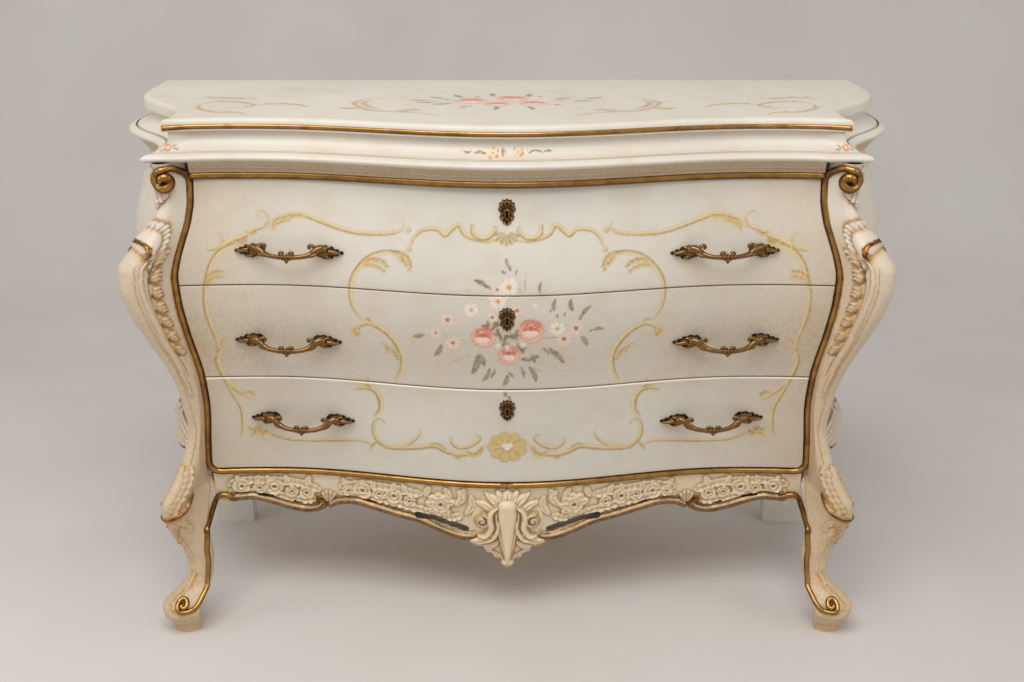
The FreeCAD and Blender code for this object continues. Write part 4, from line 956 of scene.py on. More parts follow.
def drawerFront(number, sheet):
    low, high = drawerRows[number]
    soft, step = frontBoards["softEdge"], frontBoards["spacing"]
    rows = int((high - low) / step)
    inner = np.linspace(low + soft, high - soft, rows)
    z = np.concatenate([[low + 0.05, low + soft * 0.3], inner, [high - soft * 0.3, high - 0.05]])
    edge = smooth(drawerEdges, z)
    if number == 2:
        rise = np.clip(frontBoards["corner"] - (z - low), 0, None)
        edge = edge - (frontBoards["corner"] - np.sqrt(frontBoards["corner"] ** 2 - rise ** 2))
    cols = int(1050 / step)
    u = np.linspace(-1, 1, cols)
    u = np.concatenate([[-1.0, -0.9992], u[1:-1], [0.9992, 1.0]])
    x = u[None, :] * edge[:, None]
    zz = z[:, None] * np.ones(len(u))[None, :]
    y = frontY(x, zz)
    back = np.zeros_like(y)
    back[0] = back[-1] = soft
    back[1] = back[-2] = soft * 0.3
    back[:, 0] = np.maximum(back[:, 0], soft)
    back[:, -1] = np.maximum(back[:, -1], soft)
    face = np.stack([x, y + back, zz], -1)
    holeZ = high - keyhole["belowTop"]
    middleX = (x[:-1, :-1] + x[1:, 1:]) / 2
    middleZ = (zz[:-1, :-1] + zz[1:, 1:]) / 2
    keep = ~((np.abs(middleX) < 5) & (middleZ < holeZ + 5) & (middleZ > holeZ - 13))
    patches = [grid(face, sheet, x, zz, keep=keep)]
    deep = frontBoards["thickness"]
    few = face[:, ::6]
    rear = few.copy()
    rear[..., 1] = frontY(few[..., 0], few[..., 2]) + deep
    fx, fz = rear[..., 0], rear[..., 2]
    mx, mz = (fx[:-1, :-1] + fx[1:, 1:]) / 2, (fz[:-1, :-1] + fz[1:, 1:]) / 2
    keepRear = ~((np.abs(mx) < 7) & (mz < holeZ + 5) & (mz > holeZ - 13))
    for line in (face[0], face[:, -1], face[-1][::-1], face[::-1, 0]):
        back = line.copy()
        back[:, 1] = frontY(line[:, 0], line[:, 2]) + deep
        patches.append(grid(np.stack([back, line])))
    well = [(-5, holeZ - 13), (5, holeZ - 13), (5, holeZ + 5), (-5, holeZ + 5), (-5, holeZ - 13)]
    mouth = np.array([(px, frontY(px, pz), pz) for px, pz in well])
    floor = mouth + np.array([0, deep, 0])
    body = "drawer_%d" % (number + 1)
    addPiece("painted_front_%d" % (number + 1), patches, paintMaterial, body,
             nodes=(body + "_front",))
    addPiece("front_back_%d" % (number + 1),
             [grid(rear, keep=keepRear, flip=True), grid(np.stack([floor, mouth]), flip=True)],
             woodMaterial, body)


frontSheet = paintFronts()
print("front painting ready")
for number in range(3):
    drawerFront(number, frontSheet)
print("drawer fronts ready")

# The stacked top: board, frieze, lip and mouldings follow the same outline at their own distance.
topStack = {
    "board": [[(900, -10.5), (899.4, -7.7), (897.7, -5.0), (895, -3.2), (892, -2.5), (880, -2.5)]],
    "frieze": [[(880, -12.0), (872, -12.0), (864, -10.0), (857, -4.0), (852, 4.0), (849.2, 11.0)],
               [(849.2, 12.6), (848, 13.4)]],
    "lip": [[(848, 15.0), (847, 18.0), (845.9, 21.4), (844.6, 24.0), (842.6, 26.3), (840.3, 27.0),
             (838, 26.0), (836, 23.5), (834.4, 19.4), (833.7, 17.0), (833.7, 10.0)]],
    "steps": [[(833.7, 14.0), (827.5, 13.0)], [(827.5, 13.0), (826.4, 8.3)],
              [(826.4, 8.3), (823.0, 7.0), (820.5, 7.0)], [(820.5, 7.0), (819, 1.7)],
              [(819, 1.7), (816, 0.5), (812.5, 0.5)]],
    # The steps take an ochre glaze that also stands for the shade under the lip; the quirks between
    # them are painted shade.
    "stepsHalf": 512.5, "stepGlazeAndShade": ("#b1822f", 0.62), "quirkShade": ("#4f3212", 0.85),
}


def frontEdge(out, limit=None, count=241):
    reach = limit or 520.0 + 1.05 * min(out, 0.0)
    xs = np.linspace(-reach, reach, 49)
    points = shifted(np.stack([xs, topFrontY(xs)], 1), out)
    if limit is None:
        x, y = chest["earX"] + 1.05 * out, chest["earY"] - 0.8 * out
        points = np.vstack([[(-x, y)], points, [(x, y)]])
    return evenly(flow(points, 2.0), count)


def sideEdge(out, start=0, count=121):
    ear = [(chest["earX"], chest["earY"])]
    points = shifted(ear + sideCurve, out)
    points[0] = chest["earX"] + 1.05 * out, chest["earY"] - 0.8 * out
    points[-1, 1] = chest["backY"]
    return evenly(flow(points[start:], 2.0), count)


def edgeBand(profile, limit=None, start=0, sides=True, front=True):
    # Patches of one smooth run of a profile, given as height and distance outside the outline.
    patches = []
    if front:
        rows = [np.insert(frontEdge(out, limit), 2, z, 1) for z, out in profile]
        patches.append(grid(np.stack(rows[::-1])))
    if sides:
        rows = [np.insert(sideEdge(out, start), 2, z, 1) for z, out in profile]
        right = grid(np.stack(rows[::-1]))
        patches += [right, mirror(right)]
    return patches


def straightBack(profile):
    xs = [sideEdge(out)[-1][0] for z, out in profile]
    y = chest["backY"]
    rows = [[(x, y, z), (-x, y, z)] for x, (z, out) in zip(xs, profile)]
    return grid(np.array(rows[::-1]))


topPainting = {
    "light": "#cfae70", "dark": "#a07d47", "wax": "#bfa374", "strength": 0.8,
    "scrolls": [[(214, 252), (246, 240), (258, 206), (242, 162), (216, 134), (176, 124), (138, 110),
                 (110, 86)],
                [(232, 238), (242, 206), (228, 168), (206, 148)],
                [(176, 124), (158, 140), (138, 138)], [(242, 162), (262, 150), (276, 160)],
                [(518, 196), (490, 222), (452, 214), (424, 186), (440, 160), (470, 168)],
                [(518, 196), (508, 150), (474, 120), (440, 118), (420, 96)],
                [(540, 250), (500, 262), (462, 252), (430, 262)],
                [(424, 186), (390, 200), (352, 190), (330, 166)]],
}


def paintTop():
    sheet = newSheet(-660, 660, -40, 470, 2.0)
    c = topPainting
    for way in (1, -1):
        for points in c["scrolls"]:
            line = flow(sided(way, points), 2.0)
            paintLine(sheet, sided(way, points), 7.0, c["light"], c["dark"], "both", c["strength"])
            for share in (0.25, 0.5, 0.75):
                at = line[int(len(line) * share)]
                paintLine(sheet, [at, at + np.array([way * 14, 16])], 5.0, c["light"], c["dark"],
                          "end", c["strength"])
    random = np.random.default_rng(11)
    # Twigs, leaves, then the flowers over them.
    for x, y, angle in ((-150, 236, 170), (-120, 262, 150), (-110, 200, 195), (-84, 276, 120),
                        (-70, 172, 230), (-24, 290, 95), (-20, 158, 265), (40, 286, 80),
                        (38, 158, 285), (80, 190, 330), (96, 252, 20), (130, 226, 0),
                        (150, 254, 25), (-138, 216, 185)):
        paintLeaf(sheet, x, y, 34, angle, 6.5, bouquet["olive"], bouquet["oliveDark"])
    for points in ([(-90, 226), (-140, 240), (-186, 262)], [(-96, 216), (-150, 208), (-176, 190)],
                   [(74, 228), (120, 244), (156, 270)], [(80, 216), (126, 206), (160, 214)]):
        paintLine(sheet, points, 1.8, bouquet["olive"], bouquet["oliveDark"], "end", 0.8)
    for x, y, size in ((-182, 260, 9), (-172, 192, 8), (156, 268, 9), (160, 214, 8), (-140, 238, 8)):
        paintSpot(sheet, x, y, size, bouquet["peach"], 0.9)
        paintSpot(sheet, x - 2, y + 2, size * 0.4, bouquet["white"], 0.9)
    for x, y, size in ((-62, 228, 30), (8, 250, 32), (44, 204, 27), (-18, 196, 24)):
        paintRose(sheet, x, y, size, random)
    for x, y in ((-104, 244), (92, 236), (-52, 272), (56, 274), (-74, 182), (84, 190)):
        paintDaisy(sheet, x, y, 19, bouquet["white"], bouquet["peach"], bouquet["seed"], random)
    sheet["cover"] *= 0.9
    # The wax is thicker near the edges of the top.
    xs, ys = sheetAxes(sheet)
    toFront = ys[:, None] - topFrontY(xs)[None, :]
    outline = np.array([(chest["earX"], chest["earY"])] + sideCurve)
    reach = np.interp(ys, outline[:, 1], outline[:, 0])
    toSide = reach[:, None] - np.abs(xs)[None, :]
    toBack = (chest["backY"] - ys)[:, None]
    near = np.clip(np.minimum(np.minimum(toFront, toSide), toBack), 0, None)
    amount = 0.09 + 0.25 * np.exp(-near / 16.0)
    wash(sheet, amount * (1 - 0.6 * sheet["cover"]), c["wax"])
    return sheet


def makeTop():
    sheet = paintTop()
    front = frontEdge(-10.5, count=571)
    right = sideEdge(-10.5, count=211)
    left = right * np.array([-1.0, 1.0])
    u = np.linspace(0, 1, 571)[None, :, None]
    v = np.linspace(0, 1, 211)[:, None, None]
    back = np.linspace(left[-1], right[-1], 571)
    flat = ((1 - v) * front[None] + v * back[None] + (1 - u) * left[:, None] + u * right[:, None]
            - (1 - u) * (1 - v) * front[0] - u * (1 - v) * front[-1]
            - (1 - u) * v * back[0] - u * v * back[-1])
    x, y = flat[..., 0], flat[..., 1]
    patches = [grid(np.stack([x, y, np.full_like(x, chest["topZ"])], -1), sheet, x, y)]
    for run in topStack["board"]:
        patches += edgeBand(run) + [straightBack(run)]
    patches += edgeBand([(880, -2.5), (880, -14.0)])
    addPiece("painted_top", patches, paintMaterial, nodes=("top_board",))
    edge = np.insert(frontEdge(-4.2), 2, 886.6, 1)
    addPiece("top_front_bead", [tube(edge, 4.4, up=(0, 0, 1))], giltMaterial, "chest",
             ("top_edge_bead",))


friezePainting = {"flower": "#d98f6c", "petal": "#c96f52", "heart": "#f0dcae", "daisy": "#efe3b8",
                  "daisyShade": "#e3c98a", "berry": "#cf6a55", "bud": "#d9b778"}


def paintFrieze():
    # Distance from the middle and height. One small flower near each corner, a spray in the middle.
    sheet = newSheet(-620, 620, 846, 882, 0.5)
    c = friezePainting
    random = np.random.default_rng(5)
    for x, way in ((-541, 1), (541, -1)):
        for dx, z, angle in ((9, 857, 20), (12, 853, -10), (-8, 853, 200)):
            paintLeaf(sheet, x + way * dx, z, 9, angle if way > 0 else 180 - angle, 1.9,
                      bouquet["olivePale"], bouquet["olive"])
        paintSpot(sheet, x, 855.5, 6.6, c["flower"], 0.85, 0.4)
        for k in range(7):
            turn = 2 * math.pi * k / 7
            paintSpot(sheet, x + 4.1 * math.cos(turn), 855.5 + 4.1 * math.sin(turn), 2.0, c["petal"],
                      0.7)
        paintSpot(sheet, x, 855.5, 2.3, c["heart"], 0.9)
    for x, z, size in ((-22, 858, 9.0), (17, 859, 8.0)):
        paintDaisy(sheet, x, z, size, c["daisy"], c["daisyShade"], bouquet["centre"], random, 11)
        for k in range(5):
            turn = random.uniform(0, 2 * math.pi)
            paintSpot(sheet, x + size * math.cos(turn), z + size * 0.7 * math.sin(turn), 2.8,
                      c["berry"], 0.8)
    paintSpot(sheet, -4, 860, 4.5, c["berry"], 0.85)
    for dx, angle in ((-62, 178), (-46, 190), (-38, 160), (40, 20), (50, -12), (64, 4), (-6, 95)):
        paintLeaf(sheet, dx, 859, 13, angle, 2.2, bouquet["olive"], bouquet["oliveDark"])
    for dx in (-72, -56, 32, 58, 74):
        paintSpot(sheet, dx, 861, 2.2, c["bud"], 0.8)
    zs = sheetAxes(sheet)[1]
    amount = 0.09 + 0.3 * np.exp(-(zs - 848) / 4.0) + 0.3 * np.exp(-(880 - zs) / 3.0)
    wash(sheet, amount[:, None], glaze["ochre"])
    return sheet


def makeStack():
    sheet = paintFrieze()
    patches = []
    for run in topStack["frieze"]:
        fine = flow([(z, out) for z, out in run], 1.2)
        at = np.stack([np.insert(frontEdge(out, count=961), 2, z, 1) for z, out in fine][::-1])
        patches += [grid(at, sheet, at[..., 0], at[..., 2])] + edgeBand(run, front=False)
        patches.append(straightBack(run))
    addPiece("frieze", patches, paintMaterial, nodes=("frieze_front", "frieze_boards"))
    patches = []
    for run in topStack["lip"]:
        patches += edgeBand(run) + [straightBack(run)]
    lower = edgeBand([(833.7, 10.0), (833.7, -30.0)])
    addPiece("cornice_lip", patches + lower, paintMaterial, nodes=("cornice_board",))
    half = topStack["stepsHalf"]
    steps, quirks = [], []
    for k, run in enumerate(topStack["steps"]):
        bands = edgeBand(run, half, sides=False) + edgeBand(run, start=3, front=False)
        (quirks if k % 2 else steps).extend(bands)
    # Steps tinted with glaze and painted shade, quirks with painted shade.
    addPiece("cornice_steps", steps, paintMaterial, nodes=("cornice_moulding",),
             tint=topStack["stepGlazeAndShade"])
    addPiece("cornice_quirks", quirks, paintMaterial, tint=topStack["quirkShade"])
    line = np.insert(frontEdge(-3.6, half), 2, 808.0, 1)
    addPiece("cornice_gilt_bead", [tube(line, 6.6, up=(0, 0, 1))], giltMaterial, "chest",
             ("cornice_bead",))


makeTop()
makeStack()
print("top and cornice ready")

# Carved corner posts. The relief is drawn on a sheet: distance from the ridge and height.
postCarving = {"spacing": 1.5, "frontColumns": 78, "sideColumns": 62, "shells": 7,
               "ochreLay": "#b78a34", "chip": "#4a3018", "rubbed": "#8a6636"}


def postSection(z):
    # Outline of the post at one height, from the bead to the side panel, and its ridge point.
    radius = float(smooth(postRidge, z, 3))
    cx = float(smooth(postRidge, z, 1)) - radius
    cy = float(smooth(postRidge, z, 2))
    if z >= 250:
        ax = float(smooth(drawerEdges, z)) + 4.0
        ay = float(frontY(ax, z)) + 1.0
        bx, by = float(sideX(chest["postY"], z)), chest["postY"]
    else:
        ax, ay = float(smooth(legInner, z, 1)), float(smooth(legInner, z, 2))
        bx, by = float(smooth(legRear, z, 1)), float(smooth(legRear, z, 2))
        blend = min(max((z - 235.0) / 15.0, 0.0), 1.0)
        if blend > 0:
            tx = float(smooth(drawerEdges, 250)) + 4.0
            ax += (tx - ax) * blend
            ay += (float(frontY(tx, 250)) + 1.0 - ay) * blend
            bx += (float(sideX(chest["postY"], 250)) - bx) * blend
            by += (chest["postY"] - by) * blend

    def touch(px, py, way):
        reach = math.hypot(px - cx, py - cy)
        return math.atan2(py - cy, px - cx) + way * math.acos(min(0.98, radius / reach))

    first = touch(ax, ay, 1.0)
    while first > 0.0:
        first -= 2 * math.pi
    last = touch(bx, by, -1.0)
    while last < first:
        last += 2 * math.pi
    start = (cx + radius * math.cos(first), cy + radius * math.sin(first))
    wall = ax + (chest["rebate"] if z >= 250 else 4.0)
    if start[0] > wall:
        share = (wall - ax) / (start[0] - ax)
        front = [(ax + (start[0] - ax) * share, ay + (start[1] - ay) * share)]
    else:
        first = -math.acos(max((wall - cx) / radius, -0.99))
        front = []
    turns = np.linspace(first, last, 33)
    arc = [(cx + radius * math.cos(a), cy + radius * math.sin(a)) for a in turns]
    line = np.array(front + arc + [(bx, by)])
    ridge = np.array([cx + radius * math.sqrt(0.5), cy - radius * math.sqrt(0.5)])
    middle = len(front) + int(np.argmin(np.hypot(*(line[len(front):-1] - ridge).T)))
    return line, middle, (ax, ay), (bx, by)


def postFrontY(x, z):
    line, middle = postSection(z)[:2]
    return float(np.interp(x, line[:middle + 1, 0], line[:middle + 1, 1]))


def carvePost():
    sheet = newSheet(-110, 130, 0, 834, 1.0)
    # Shoulder: a smooth swelling with a soft border inside it, which runs on down to the knee.
    carveLine(sheet, [(-26, 676), (-27, 640), (-24, 590), (-19, 540), (-15, 480), (-13, 420),
                      (-14, 360), (-16, 306)], 8.0, 1.7)
    carveLine(sheet, [(-44, 470), (-37, 430), (-33, 390), (-33, 340), (-36, 300)], 6.0, 1.3)
    carveLine(sheet, [(44, 420), (56, 520), (62, 620), (50, 700)], 3.0, 1.6)
    # Hollow with a rounded rim, and a ribbon of overlapping shells that lies in it.
    ribbon = flow([(-48, 520), (-60, 580), (-69, 635), (-69, 682)], 1.0)
    carveLine(sheet, ribbon[::12], 15.0, 3.4, "even")
    carveLine(sheet, [(-52, 682), (-53, 640), (-46, 580), (-37, 525), (-32, 470)], 5.5, 3.6)
    raiseLine(sheet, [(-62, 688), (-52, 694), (-42, 686), (-37, 664), (-38, 630), (-35, 580),
                      (-28, 530), (-23, 480), (-21, 430)], 5.0, 2.6, 0.0, "both", 0.8)
    count = postCarving["shells"]
    shells = [(s, z, 8.0 + 3.0 * k / count) for k, (s, z) in enumerate(evenly(ribbon, count))]
    for s, z, size in shells:
        raiseLine(sheet, [(s + size * 0.2, z - 0.5), (s + size * 0.2, z + 0.5)], size * 0.8, 4.4)
        for lift, drop in ((0.75, 0.5), (0.1, -0.2), (-0.5, -0.9)):
            raiseLine(sheet, [(s + size * 0.4, z + size * lift),
                              (s - size * 0.4, z + size * (lift + 0.1)),
                              (s - size * 1.05, z + size * drop)], size * 0.4, 5.6, 0.0, "end")
    # Ruffled leaf over the shoulder and the gilded ring under it.
    raiseRuffle(sheet, [(20, 724), (2, 732), (-20, 727), (-38, 712), (-49, 692)], 10, 7.5, 9)
    raiseRuffle(sheet, [(-44, 700), (-54, 688), (-58, 672)], 10, 7.0, 4)
    raiseLine(sheet, [(28, 702), (8, 715), (-14, 714), (-32, 702), (-42, 688)], 15, 8.2, 0.0, "both",
              0.7)
    ring = [(42, 690), (24, 706), (6, 713), (-12, 711), (-25, 703), (-33, 692)]
    raiseLine(sheet, ring, 4.6, 9.5, 1.0)
    carveLine(sheet, ring, 1.3, 4.0, "even")
    # Capital: a cream scroll turned to the side and a leaf that hangs below it.
    raiseLine(sheet, [(18, 806), (19, 806)], 20, 8.5, 0.0)
    raiseScroll(sheet, 19, 807, 18, 1.5, 85, -1, 4.4, 11.4, 0.15)
    raiseLine(sheet, [(-8, 806), (-7, 806)], 18, 6.5, 0.0)
    raiseRuffle(sheet, [(26, 800), (20, 788), (8, 783), (-4, 786)], 17, 8.5, 6)
    raiseLeaf(sheet, [(8, 790), (7, 774), (5, 760)], 9, 7.5, 4)
    # Knee: a smooth tongue between two ruffled edges, and a gilded scroll across it.
    raiseLine(sheet, [(-2, 302), (-3, 270), (0, 236), (0, 206)], 15, 5.0, 0.0, "both", 0.7)
    raiseRuffle(sheet, [(-16, 298), (-22, 270), (-20, 240), (-10, 214)], 8, 5.5, 8)
    raiseRuffle(sheet, [(14, 298), (22, 270), (24, 240), (14, 212)], 8, 5.5, 8)
    raiseLine(sheet, [(-44, 252), (-50, 244), (-46, 234), (-30, 224), (-8, 214), (14, 212),
                      (28, 222), (26, 234), (18, 234)], 3.8, 7.0, 1.0, "even")
    # Below it a smaller scroll with ruffles on the outer side of the leg.
    raiseLine(sheet, [(-30, 206), (-20, 198), (-12, 182), (-12, 166)], 2.6, 3.6, 0.3, "both")
    for s, z in ((12, 196), (18, 184), (16, 172), (10, 162)):
        raiseRuffle(sheet, [(s - 3, z + 2), (s, z), (s + 4, z - 1)], 8, 5.0, 4)
    raiseRuffle(sheet, [(-30, 204), (-38, 196), (-36, 184)], 6, 3.6, 4)
    # Leg: an arris with a hollow on each side, and the leaf that curls over the toe.
    raiseLine(sheet, [(-2, 170), (-3, 140), (-2, 108), (-4, 84)], 2.2, 1.6, 0.0, "both")
    carveLine(sheet, [(-13, 160), (-13, 130), (-12, 100), (-14, 76)], 8.0, 1.3)
    carveLine(sheet, [(16, 160), (15, 130), (14, 100), (18, 76)], 8.0, 1.3)
    raiseRuffle(sheet, [(-12, 98), (-10, 84), (-14, 68), (-24, 56)], 7, 3.6, 6, 1)
    raiseLine(sheet, [(-10, 102), (-8, 84), (-12, 66), (-24, 54)], 2.2, 2.6, 0.0, "both")
    raiseLine(sheet, [(-100, 10), (0, 10), (120, 10)], 3.0, 0.9)
    antiqued(sheet, 0.14, 0.9, 0.45)
    zs = sheetAxes(sheet)[1]
    ochre = np.interp(zs, [0, 60, 330, 560, 690, 740], [0.56, 0.62, 0.5, 0.42, 0.3, 0.0])
    wash(sheet, ochre[:, None], postCarving["ochreLay"])
    # More glaze where the work is deep: the ribbon's hollow, the neck under the ring, the knee. It is
    # also painted shade in these hollows, under the ring and the capital, and along the base of the
    # foot.
    for points, width, amount in (
            ([(-46, 525), (-56, 590), (-64, 640), (-62, 686)], 16, 0.5),
            ([(36, 690), (0, 706), (-26, 690)], 9, 0.35), ([(-20, 786), (20, 784)], 14, 0.3),
            ([(-40, 246), (-10, 208), (24, 220)], 14, 0.45), ([(-16, 200), (-20, 170)], 16, 0.35),
            ([(-14, 96), (-24, 54)], 12, 0.4), ([(-80, 12), (90, 12)], 12, 0.3),
            ([(30, 330), (44, 420), (60, 520), (66, 620), (52, 690)], 16, 0.35),
            ([(-70, 540), (-60, 450), (-52, 360), (-56, 300)], 10, 0.25)):
        paintLine(sheet, points, width, glaze["ochre"], glaze["ochre"], "even", amount, 1.0)
    # The deepest places between the shells are painted umber, as glaze and as painted shade.
    for s, z, size in shells:
        paintLine(sheet, [(s + size * 1.25, z + size * 0.1), (s + size * 1.3, z - size * 0.6),
                          (s + size * 0.7, z - size * 1.1)], 4.2, glaze["umberAndShade"], glaze["umberAndShade"],
                  "both", 0.95, 0.8)
    paintLine(sheet, [(-53, 684), (-55, 664), (-54, 644)], 4.0, glaze["umberAndShade"], glaze["umberAndShade"],
              "both", 0.85, 0.8)
    # Chipped paint in a ragged line down the leg and rubbed places.
    random = np.random.default_rng(3)
    for z in range(60, 190, 2):
        if random.random() < 0.6:
            s = -3 + 3 * math.sin(z / 17.0) + random.uniform(-1.5, 1.5)
            paintSpot(sheet, s, z, random.uniform(0.8, 1.8), postCarving["chip"], 0.55, 0.8)
    for k in range(190):
        s, z = random.uniform(-80, 90), random.uniform(0, 830)
        paintSpot(sheet, s, z, random.uniform(0.5, 1.4), postCarving["rubbed"], 0.5, 0.9)
    return sheet


def makePosts():
    sheet = carvePost()
    levels = np.concatenate([[0.0, 1.2], np.arange(2.7, chest["postTop"], postCarving["spacing"]),
                             [chest["postTop"]]])
    rows, marks, tails = [], [], []
    frontCount, sideCount = postCarving["frontColumns"], postCarving["sideColumns"]
    for z in levels:
        line, middle, inner, rear = postSection(z)
        front = evenly(line[:middle + 1], frontCount)
        side = evenly(line[middle:], sideCount)
        points = np.vstack([front, side[1:]])
        steps = np.concatenate([[0], np.cumsum(np.hypot(*np.diff(points, axis=0).T))])
        rows.append(points)
        marks.append(steps - steps[frontCount - 1])
        deep = inner[1] + 8.0
        back = np.vstack([np.linspace(rear, (inner[0], rear[1]), 10)[1:],
                          np.linspace((inner[0], rear[1]), (inner[0], deep), 14)[1:],
                          np.linspace((inner[0], deep), (points[0][0], deep), 3)[1:],
                          np.linspace((points[0][0], deep), points[0], 3)[1:]])
        # The leg is rounded at its back, the post is square there.
        t = np.linspace(0, 1, len(back) + 1)[1:, None]
        corner = np.array([inner[0] - 2.0, rear[1] + 2.0])
        bow = (1 - t) ** 2 * np.array(rear) + 2 * t * (1 - t) * corner + t ** 2 * points[0]
        square = min(max((z - 190.0) / 45.0, 0.0), 1.0)
        tails.append(back * square + bow * (1 - square))
    rows, marks, tails = np.array(rows), np.array(marks), np.array(tails)
    z = levels[:, None] * np.ones(rows.shape[1])
    heading = np.gradient(rows, axis=1)
    heading /= np.maximum(np.linalg.norm(heading, axis=-1), 1e-6)[..., None]
    outward = np.stack([heading[..., 1], -heading[..., 0]], -1)
    height = sample(sheet, "height", marks, z)
    # The relief dies away at the bead and at the panel, and at the foot's edge.
    fade = np.clip((marks - marks[:, :1]) / 4.0, 0, 1) * np.clip((marks[:, -1:] - marks) / 4.0, 0, 1)
    height = height * fade * np.clip(z / 3.0, 0, 1)
    shape = rows + outward * height[..., None]
    face = grid(np.concatenate([shape, z[..., None]], -1), sheet, marks, z)
    tailZ = levels[:, None] * np.ones(tails.shape[1] + 1)
    whole = np.concatenate([shape[:, -1:], tails], 1)
    back = grid(np.concatenate([whole, tailZ[..., None]], -1), sheet, np.full(tailZ.shape, -70.0),
                tailZ)
    ring = np.concatenate([shape[0], tails[0]])
    centre = ring.mean(0)
    sole = np.stack([np.insert(ring, 2, 0.0, 1), np.insert(ring * 0 + centre, 2, 0.0, 1)])
    patches = [face, back, grid(sole, wrap=True, flip=True)]
    addPiece("carved_post_right", patches, paintMaterial,
             nodes=("front_post_right", "scroll_capitals", "collar_rings", "shoulder_carvings",
                    "knee_carvings"))
    addPiece("carved_post_left", [mirror(p) for p in patches], paintMaterial,
             nodes=("front_post_left",))


makePosts()
print("posts ready")

# Gilded bead around the drawers. It rises into a scroll on each post, under the cornice.
frameBead = {"radius": 5.7, "fromDrawer": 6.8, "corner": 20.8, "bottom": 260.7, "top": 796.0,
             "depth": 1.6, "eye": (546.0, 806.0), "scroll": 18.5, "turns": 1.3, "button": 5.4}


def makeFrameBead():
    f = frameBead
    z = np.arange(f["top"], f["bottom"] + f["corner"], -4.0)
    right = [(float(smooth(drawerEdges, v)) + f["fromDrawer"], v) for v in z]
    last = float(smooth(drawerEdges, f["bottom"] + f["corner"])) + f["fromDrawer"]
    for k in range(1, 13):
        turn = math.pi / 2 * k / 12.0
        right.append((last - f["corner"] * (1 - math.cos(turn)),
                      f["bottom"] + f["corner"] * (1 - math.sin(turn))))
    bottom = [(x, f["bottom"]) for x in np.linspace(last - f["corner"], 0, 100)[1:]]
    half = np.array(right + bottom)
    side = np.stack([half[:, 0], frontY(half[:, 0], half[:, 1]) + f["depth"], half[:, 1]], 1)
    x, z = f["eye"]
    eye = spiral(x, z, f["scroll"], f["turns"], 90, -1, 0.14)
    rise = [(516.6, 804.0), (519.5, 812.5), (525.5, 820.0), (534.5, 825.2)]
    head = np.array([(a, postFrontY(a, b) - 3.0 - 6.0 * k / (len(eye) + 4.0), b)
                     for k, (a, b) in enumerate(rise + [tuple(p) for p in eye])])
    line = flow(np.vstack([head[::-1], side[::2]])[::2], 2.5)
    line = np.vstack([line, side[-1:]])
    size = np.interp(np.arange(len(line)), [0, 12, 36, 60], [5.2, 7.6, 8.2, f["radius"]])
    front = head[-1][1]
    patches = [tube(line, size), domedButton(x, front + 4, front - 1.5, z, f["button"])]
    addPiece("drawer_frame_bead", bothSides(patches), giltMaterial, "chest",
             ("frame_bead_sides", "frame_bead_bottom"))


makeFrameBead()

# Gilded bead down the inner edge of each leg, ending in a scroll with a button on the foot.
legBead = {"radius": 5.4, "tip": 4.0, "fromEdge": 9.5, "widest": 530.5, "foot": (567.0, 61.0),
           "scroll": 11.5, "button": 4.4}


def makeLegBeads():
    f = legBead
    corner = ((496, 206), (506, 210), (515, 211), (523, 206), (528, 197))
    path = [(x, float(frontY(x, z)) - 1.0, z) for x, z in corner]
    for z in np.arange(176.0, 74.0, -6.0):
        ax = min(float(smooth(legInner, z, 1)) + f["fromEdge"], f["widest"])
        path.append((ax, postFrontY(ax, z) - 1.2, z))
    x, z = f["foot"]
    for a, b in ((539, 64), (546, 55), (556, 50)):
        path.append((a, postFrontY(a, b) - 2.2, b))
    eye = spiral(x, z, f["scroll"], 1.25, -90, 1, 0.22)
    curl = [(a, postFrontY(a, b) - 3.0 - 1.5 * k / len(eye), b) for k, (a, b) in enumerate(eye)]
    bar = flow(path + curl[2::5], 1.5)
    front = curl[-1][1]
    patches = [tube(bar, np.linspace(f["radius"], f["tip"], len(bar))),
               domedButton(x, front + 5.0, front - 2.0, z, f["button"])]
    addPiece("leg_beads_gilt", bothSides(patches), giltMaterial, "chest",
             ("leg_beads",))


makeLegBeads()

# Carved apron under the drawers.
apron = {"top": 256.0, "setBack": 3.0, "thickness": 24.0, "halfWidth": 525.6, "columns": 760,
         "rows": 74, "goldSizeAndLight": "#f2cc80"}


